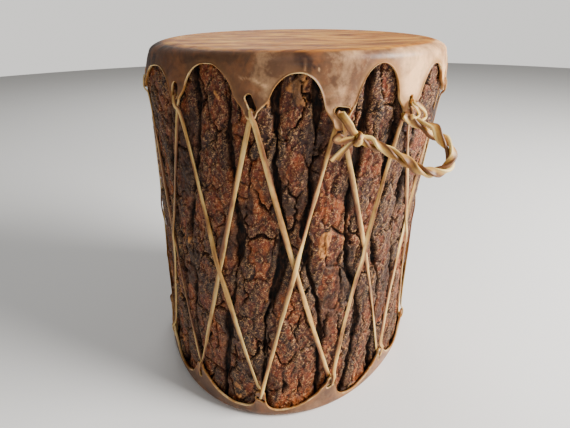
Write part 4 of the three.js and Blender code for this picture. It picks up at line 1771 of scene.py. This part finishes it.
@dataclass
class Handle:
    """The stiff handle of twisted rawhide between two of the top tabs."""

    trunk: Trunk
    turns: float = 3.1
    ply_width: float = 0.0066
    ply_thick: float = 0.0032
    spread: float = 0.0019
    eyes: Places = (    # place along the rope, half length and
        (0.775, 0.050, 0.0036), (0.07, 0.03, 0.0014),   # spread of each gap between the plies
    )
    rope: Places = (
        (16.6, 292, 10), (19.7, 289.4, 12.5), (21.9, 285.8, 15.5), (23.9, 283.4, 19.5),
        (25.5, 280.1, 25), (27.3, 276, 31.5), (29.1, 270.8, 38), (31, 267.9, 43),
        (33.3, 267, 46.5), (35.8, 269.6, 48.5), (37.6, 277, 46.5), (37.9, 285.6, 38.5),
        (37.8, 291.6, 28), (37.2, 295.5, 17.5), (35.7, 298.6, 11), (33.6, 301.8, 7.5),
        (32.3, 304.2, 5.5),
    )
    hook: Places = (
        (37, 313.4, 0.6), (36, 314, 4.5), (36, 313, 8), (38.3, 308.8, 9.5),
        (40.4, 303.7, 9.8), (40.6, 299.2, 10), (38.2, 297.4, 10.5),
    )
    nub: Places = (
        (36.8, 311.7, 0.6), (35.4, 312.3, 6), (36.2, 308.7, 9.3), (37.4, 304, 10),
        (36.2, 300.8, 10.6), (34.2, 301.6, 10.8), (33.8, 304.8, 10),
    )
    strap: Places = (
        (17, 291.5, 9.2), (15.1, 298.6, 9.6), (13.4, 305.6, 9.2), (12.4, 309.4, 6),
        (12.4, 310, 0.6),
    )
    tail: Places = ((17, 292.5, 9.5), (13.7, 283.2, 7.2), (10.8, 273.6, 5.2))
    split: Places = ((16.4, 291, 9.5), (14, 283, 7.6), (12.4, 274.4, 6.4))
    curl: Places = (
        (16, 292.8, 9.5), (13.9, 290.8, 8.6), (11.9, 290.2, 8.2), (10.7, 292.4, 8.6),
        (11.5, 294.6, 9.6), (12.5, 293.2, 9.8),
    )

    knot_at: Triple = (17, 0.2915, 0.0095)    # angle, height and offset
    knot_reach: float = 0.0043
    knot_slant: float = 0.0012
    knot_width: float = 0.0056
    knot_thick: float = 0.0026

    def route(self, places: Sequence[tuple], count: int) -> tuple[Grid, Grid]:
        """A smooth line through places on the trunk.

        Args:
            places: Angle, height and offset of each, the last two in millimetres.
            count: How many points to return.

        Returns:
            The points, and the direction away from the trunk at each.
        """
        table = np.array(places, float)
        points = self.trunk.place(table[:, 0], table[:, 1] * MM, table[:, 2] * MM)
        away = np.array([outward(a) for a in table[:, 0]])
        line = smooth_line(np.hstack([points, away]), count)
        return line[:, :3], line[:, 3:]

    def ply(self, start: float, count: int = 150) -> bpy.types.Object:
        """One of the two plies, wound round the rope's middle line.

        Args:
            start: Where it starts round the line, in radians.
            count: How many points it has.

        Returns:
            The new piece.
        """
        points, away = self.route(self.rope, count)
        tangent = tangents(points)
        side = square_to(away, tangent)
        other = np.cross(tangent, side)
        t = np.linspace(0, 1, count)
        turn = start + t * self.turns * 2 * math.pi
        spread = self.spread + 0 * t
        for place, half, gap in self.eyes:
            spread = spread + gap * np.exp(-(((t - place) / half) ** 2))
        spread = spread * np.minimum(1, 0.35 + 8 * np.minimum(t, 1 - t))
        radial = side * np.cos(turn)[:, None] + other * np.sin(turn)[:, None]
        across = -side * np.sin(turn)[:, None] + other * np.cos(turn)[:, None]
        width = self.ply_width * (1 + 0.12 * line_drift(t * 9, start + 1))
        thick = self.ply_thick * (1 + 0.12 * line_drift(t * 13, start + 2))
        line = points + radial * spread[:, None]
        return Strip(line, across, width, thick, 16, 0.10, 3.4).build("ply")

    def strand(self, places: Sequence[tuple], width: float, thick: float, twist: float,
               count: int = 60) -> bpy.types.Object:
        """A plain strip of hide that lies along places on the trunk.

        Args:
            places: Angle, height and offset of each, the last two in millimetres.
            width: Its width.
            thick: Its thickness.
            twist: How far it turns over on its way, in degrees.
            count: How many points it has.

        Returns:
            The new piece.
        """
        points, away = self.route(places, count)
        tangent = tangents(points)
        across = unit(np.cross(tangent, away))
        normal = np.cross(across, tangent)
        turn = np.linspace(0, math.radians(twist), count)[:, None]
        across = across * np.cos(turn) + normal * np.sin(turn)
        t = np.linspace(0, 1, count)
        widths = width * (1 + 0.12 * line_drift(t * 7, width * 900))
        return Strip(points, across, widths, np.full(count, thick), 14, 0.08, 2.6).build("strand")

    def knot(self) -> bpy.types.Object:
        """The turn of hide that binds the rope where it meets the strap.

        Returns:
            The new piece.
        """
        angle = self.knot_at[0]
        centre = self.trunk.place(*self.knot_at)
        along = sideways(angle) - 0.9 * UPWARD
        along = along / np.linalg.norm(along)
        first = outward(angle)
        second = np.cross(along, first)
        count = 48
        turn = full_turn(count)
        circle = np.cos(turn)[:, None] * first + np.sin(turn)[:, None] * second
        ring = centre + self.knot_reach * circle
        ring = ring + along * (self.knot_slant * np.sin(turn))[:, None]
        across = np.repeat(along[None], count, 0)
        widths = self.knot_width * (1 + 0.15 * np.sin(2 * turn + 1))
        thicks = np.full(count, self.knot_thick)
        return Strip(ring, across, widths, thicks, 12, 0.05, 2.6).build("ring", True)

    def build(self) -> bpy.types.Object:
        """Makes the whole handle.

        Returns:
            The new piece.
        """
        strands = [
            self.ply(0.0),
            self.ply(math.pi),
            self.strand(self.hook, 0.0044, 0.0026, 60),
            self.strand(self.nub, 0.0042, 0.0024, 40),
            self.strand(self.strap, 0.0062, 0.0026, 25),
            self.strand(self.tail, 0.0050, 0.0024, 20),
            self.strand(self.split, 0.0034, 0.0020, -25),
            self.strand(self.curl, 0.0050, 0.0030, -30),
            self.knot(),
        ]
        return joined(strands, "twisted_handle")


# ---- Studio ----------------------------------------------------------------------------


@dataclass
class Studio:
    """The floor, the soft lights and the camera."""

    eye: Triple = (0.0, -0.4937, 0.3861)
    pitch: float = 25.02
    yaw: float = 0.5
    roll: float = 0.9
    lens: float = 28.42
    sensor: float = 36.0

    def camera(self) -> None:
        """Sets up the camera."""
        data = bpy.data.cameras.new("camera")
        data.lens = self.lens
        data.sensor_width = self.sensor
        data.clip_start = 0.01
        camera = bpy.data.objects.new("camera", data)
        bpy.context.scene.collection.objects.link(camera)
        pitch, yaw, roll = (math.radians(v) for v in (self.pitch, self.yaw, self.roll))
        ahead = Vector((math.sin(yaw) * math.cos(pitch), math.cos(yaw) * math.cos(pitch),
                        -math.sin(pitch)))
        right = Vector((math.cos(yaw), -math.sin(yaw), 0))
        up = right.cross(ahead)
        rolled_right = right * math.cos(roll) - up * math.sin(roll)
        rolled_up = right * math.sin(roll) + up * math.cos(roll)
        turn = Matrix((rolled_right, rolled_up, -ahead)).transposed()
        camera.matrix_world = Matrix.Translation(self.eye) @ turn.to_4x4()
        bpy.context.scene.camera = camera

    def floor(self) -> None:
        """Lays the floor."""
        deselect()
        bpy.ops.mesh.primitive_circle_add(vertices=96, radius=3.0, fill_type="NGON")
        floor = bpy.context.object
        floor.name = "floor"
        floor.data.materials.append(PlainFinish("pale_floor", (244, 243, 241)).material())

    def light(self, name: str, place: tuple, size: float, power: float, colour: Colour) -> None:
        """Adds one soft light that looks at the drum's middle.

        Args:
            name: The light's name.
            place: Where it stands.
            size: How wide it is.
            power: Its power in watts.
            colour: Its colour, in light values.
        """
        data = bpy.data.lights.new(name, "AREA")
        data.shape = "DISK"
        data.size = size
        data.energy = power
        data.color = colour
        lamp = bpy.data.objects.new(name, data)
        bpy.context.scene.collection.objects.link(lamp)
        lamp.location = place
        aim = Vector((0, 0, 0.2)) - Vector(place)
        lamp.rotation_euler = aim.to_track_quat("-Z", "Y").to_euler()

    def world(self, fill: float, wall: float) -> None:
        """Fills the room with even light.

        Args:
            fill: Strength of the light that falls on the drum.
            wall: Strength of the wall that the camera sees.
        """
        world = bpy.data.worlds.new("room")
        bpy.context.scene.world = world
        world.use_nodes = True
        nodes = world.node_tree.nodes
        links = world.node_tree.links
        background = nodes["Background"]
        background.inputs["Color"].default_value = tone(212, 210, 206)
        seen = nodes.new("ShaderNodeLightPath").outputs["Is Camera Ray"]
        level = nodes.new("ShaderNodeMapRange")
        links.new(seen, level.inputs["Value"])
        level.inputs["To Min"].default_value = fill
        level.inputs["To Max"].default_value = wall
        links.new(level.outputs["Result"], background.inputs["Strength"])

    def build(self) -> None:
        """Sets up everything round the drum but the camera."""
        self.floor()
        self.world(0.33, 1.62)
        self.light("window", (1.5, -0.5, 1.0), 0.9, 84, (1.0, 0.975, 0.94))
        self.light("room_fill", (-0.4, -1.5, 1.2), 1.2, 4, (0.97, 0.98, 1.0))
        self.light("back_glow", (-0.2, 1.5, 1.6), 1.2, 14, (1.0, 1.0, 1.0))


# ---- The drum --------------------------------------------------------------------------


def main() -> None:
    """Builds the drum and the studio, piece by piece."""
    studio = Studio()
    studio.camera()
    trunk = Trunk()
    top = Head(
        trunk, End.TOP, face_rows=52, rim=0.009, reach=0.008, side_reach=0.014, arch=0.012,
        # painted light on the right of the top skirt
        plain_length=0.049, skews=(0.12, -0.06, 0.05, -0.05), painted_light_side=0.39,
        widths=((0.90, 0.86), (0.82, 0.78)),
        front=(
            Tab(-77, 0.042, 0.0170, 0, 0.005, 0.010),
            Tab(-43.5, 0.047, 0.010, 4, 0.0088, 0.0140, -0.0002, 0),
            Tab(-13.3, 0.050, 0.015, -27, 0.0062, 0.0145, -0.0003, 0.0012),
            Tab(12.8, 0.059, 0.010, 98, 0.0064, 0.0130, 0.001, -0.0015),
            Tab(36.5, 0.056, 0.0155, -8), Tab(61, 0.043, 0.013),
        ),
        streaks=(
            (0.2, 0.352, 2.6, 0.343, 0.0050, -0.30), (1.4, 0.350, 1.6, 0.342, 0.0008, 0.60),
            (5.2, 0.3435, 5.9, 0.3425, 0.0009, 0.5), (-16.5, 0.337, -8.5, 0.331, 0.0007, 0.20),
            (-70, 0.351, -48, 0.350, 0.0025, 0.16), (-46, 0.341, -28, 0.352, 0.0022, -0.12),
            (14, 0.334, 12, 0.312, 0.0016, 0.08), (8, 0.346, 12, 0.322, 0.0014, -0.10),
        ),
    )
    bottom = Head(
        trunk, End.BOTTOM, rim=0.008, reach=0.008, side_reach=0.0, arch=0.011,
        plain_length=0.038, skews=(0, 0.5, -0.5, -0.4, 0.3), bay_width=0.92, bay_sides=0.62,
        front=(
            Tab(-66, 0.041, 0.012), Tab(-36, 0.041, 0.012),
            Tab(-9, 0.034, 0.0105, -58, 0.004, 0.0105, 0, -0.003),
            Tab(17.5, 0.042, 0.009, 72, 0.0038, 0.0095, -0.001, -0.002),
            Tab(46, 0.037, 0.010), Tab(76, 0.038, 0.011),
        ),
    )
    # places where shadow is painted on the bark behind the slits
    spots = tuple(spot for head in (top, bottom) for spot in head.slit_shadows())
    finish = BarkFinish().material()
    for piece in LogShell(trunk, painted_slit_shadows=spots).build():
        hand_over(piece, finish, "log_shell")
    top_piece = top.build("top_rawhide_head")
    hand_over(top_piece, HideFinish("top_rawhide").material(), "top_head")
    bottom_piece = bottom.build("bottom_rawhide_head")
    low_finish = HideFinish("bottom_rawhide", skirt_dark=(40, 24, 15), skirt=(98, 66, 44),
                            skirt_light=(176, 132, 96))
    hand_over(bottom_piece, low_finish.material(), "bottom_head")
    lacing = Lacing(trunk, top, bottom).build()
    hand_over(lacing, ThongFinish("thong").material(), "lacing")
    handle = Handle(trunk).build()
    gold = ThongFinish("handle_hide", pale=(246, 212, 132), tan=(196, 144, 64),
                       brown=(112, 66, 20), painted_edge_light=0.20)
    hand_over(handle, gold.material(), "handle")
    studio.build()


if __name__ == "__main__":
    main()
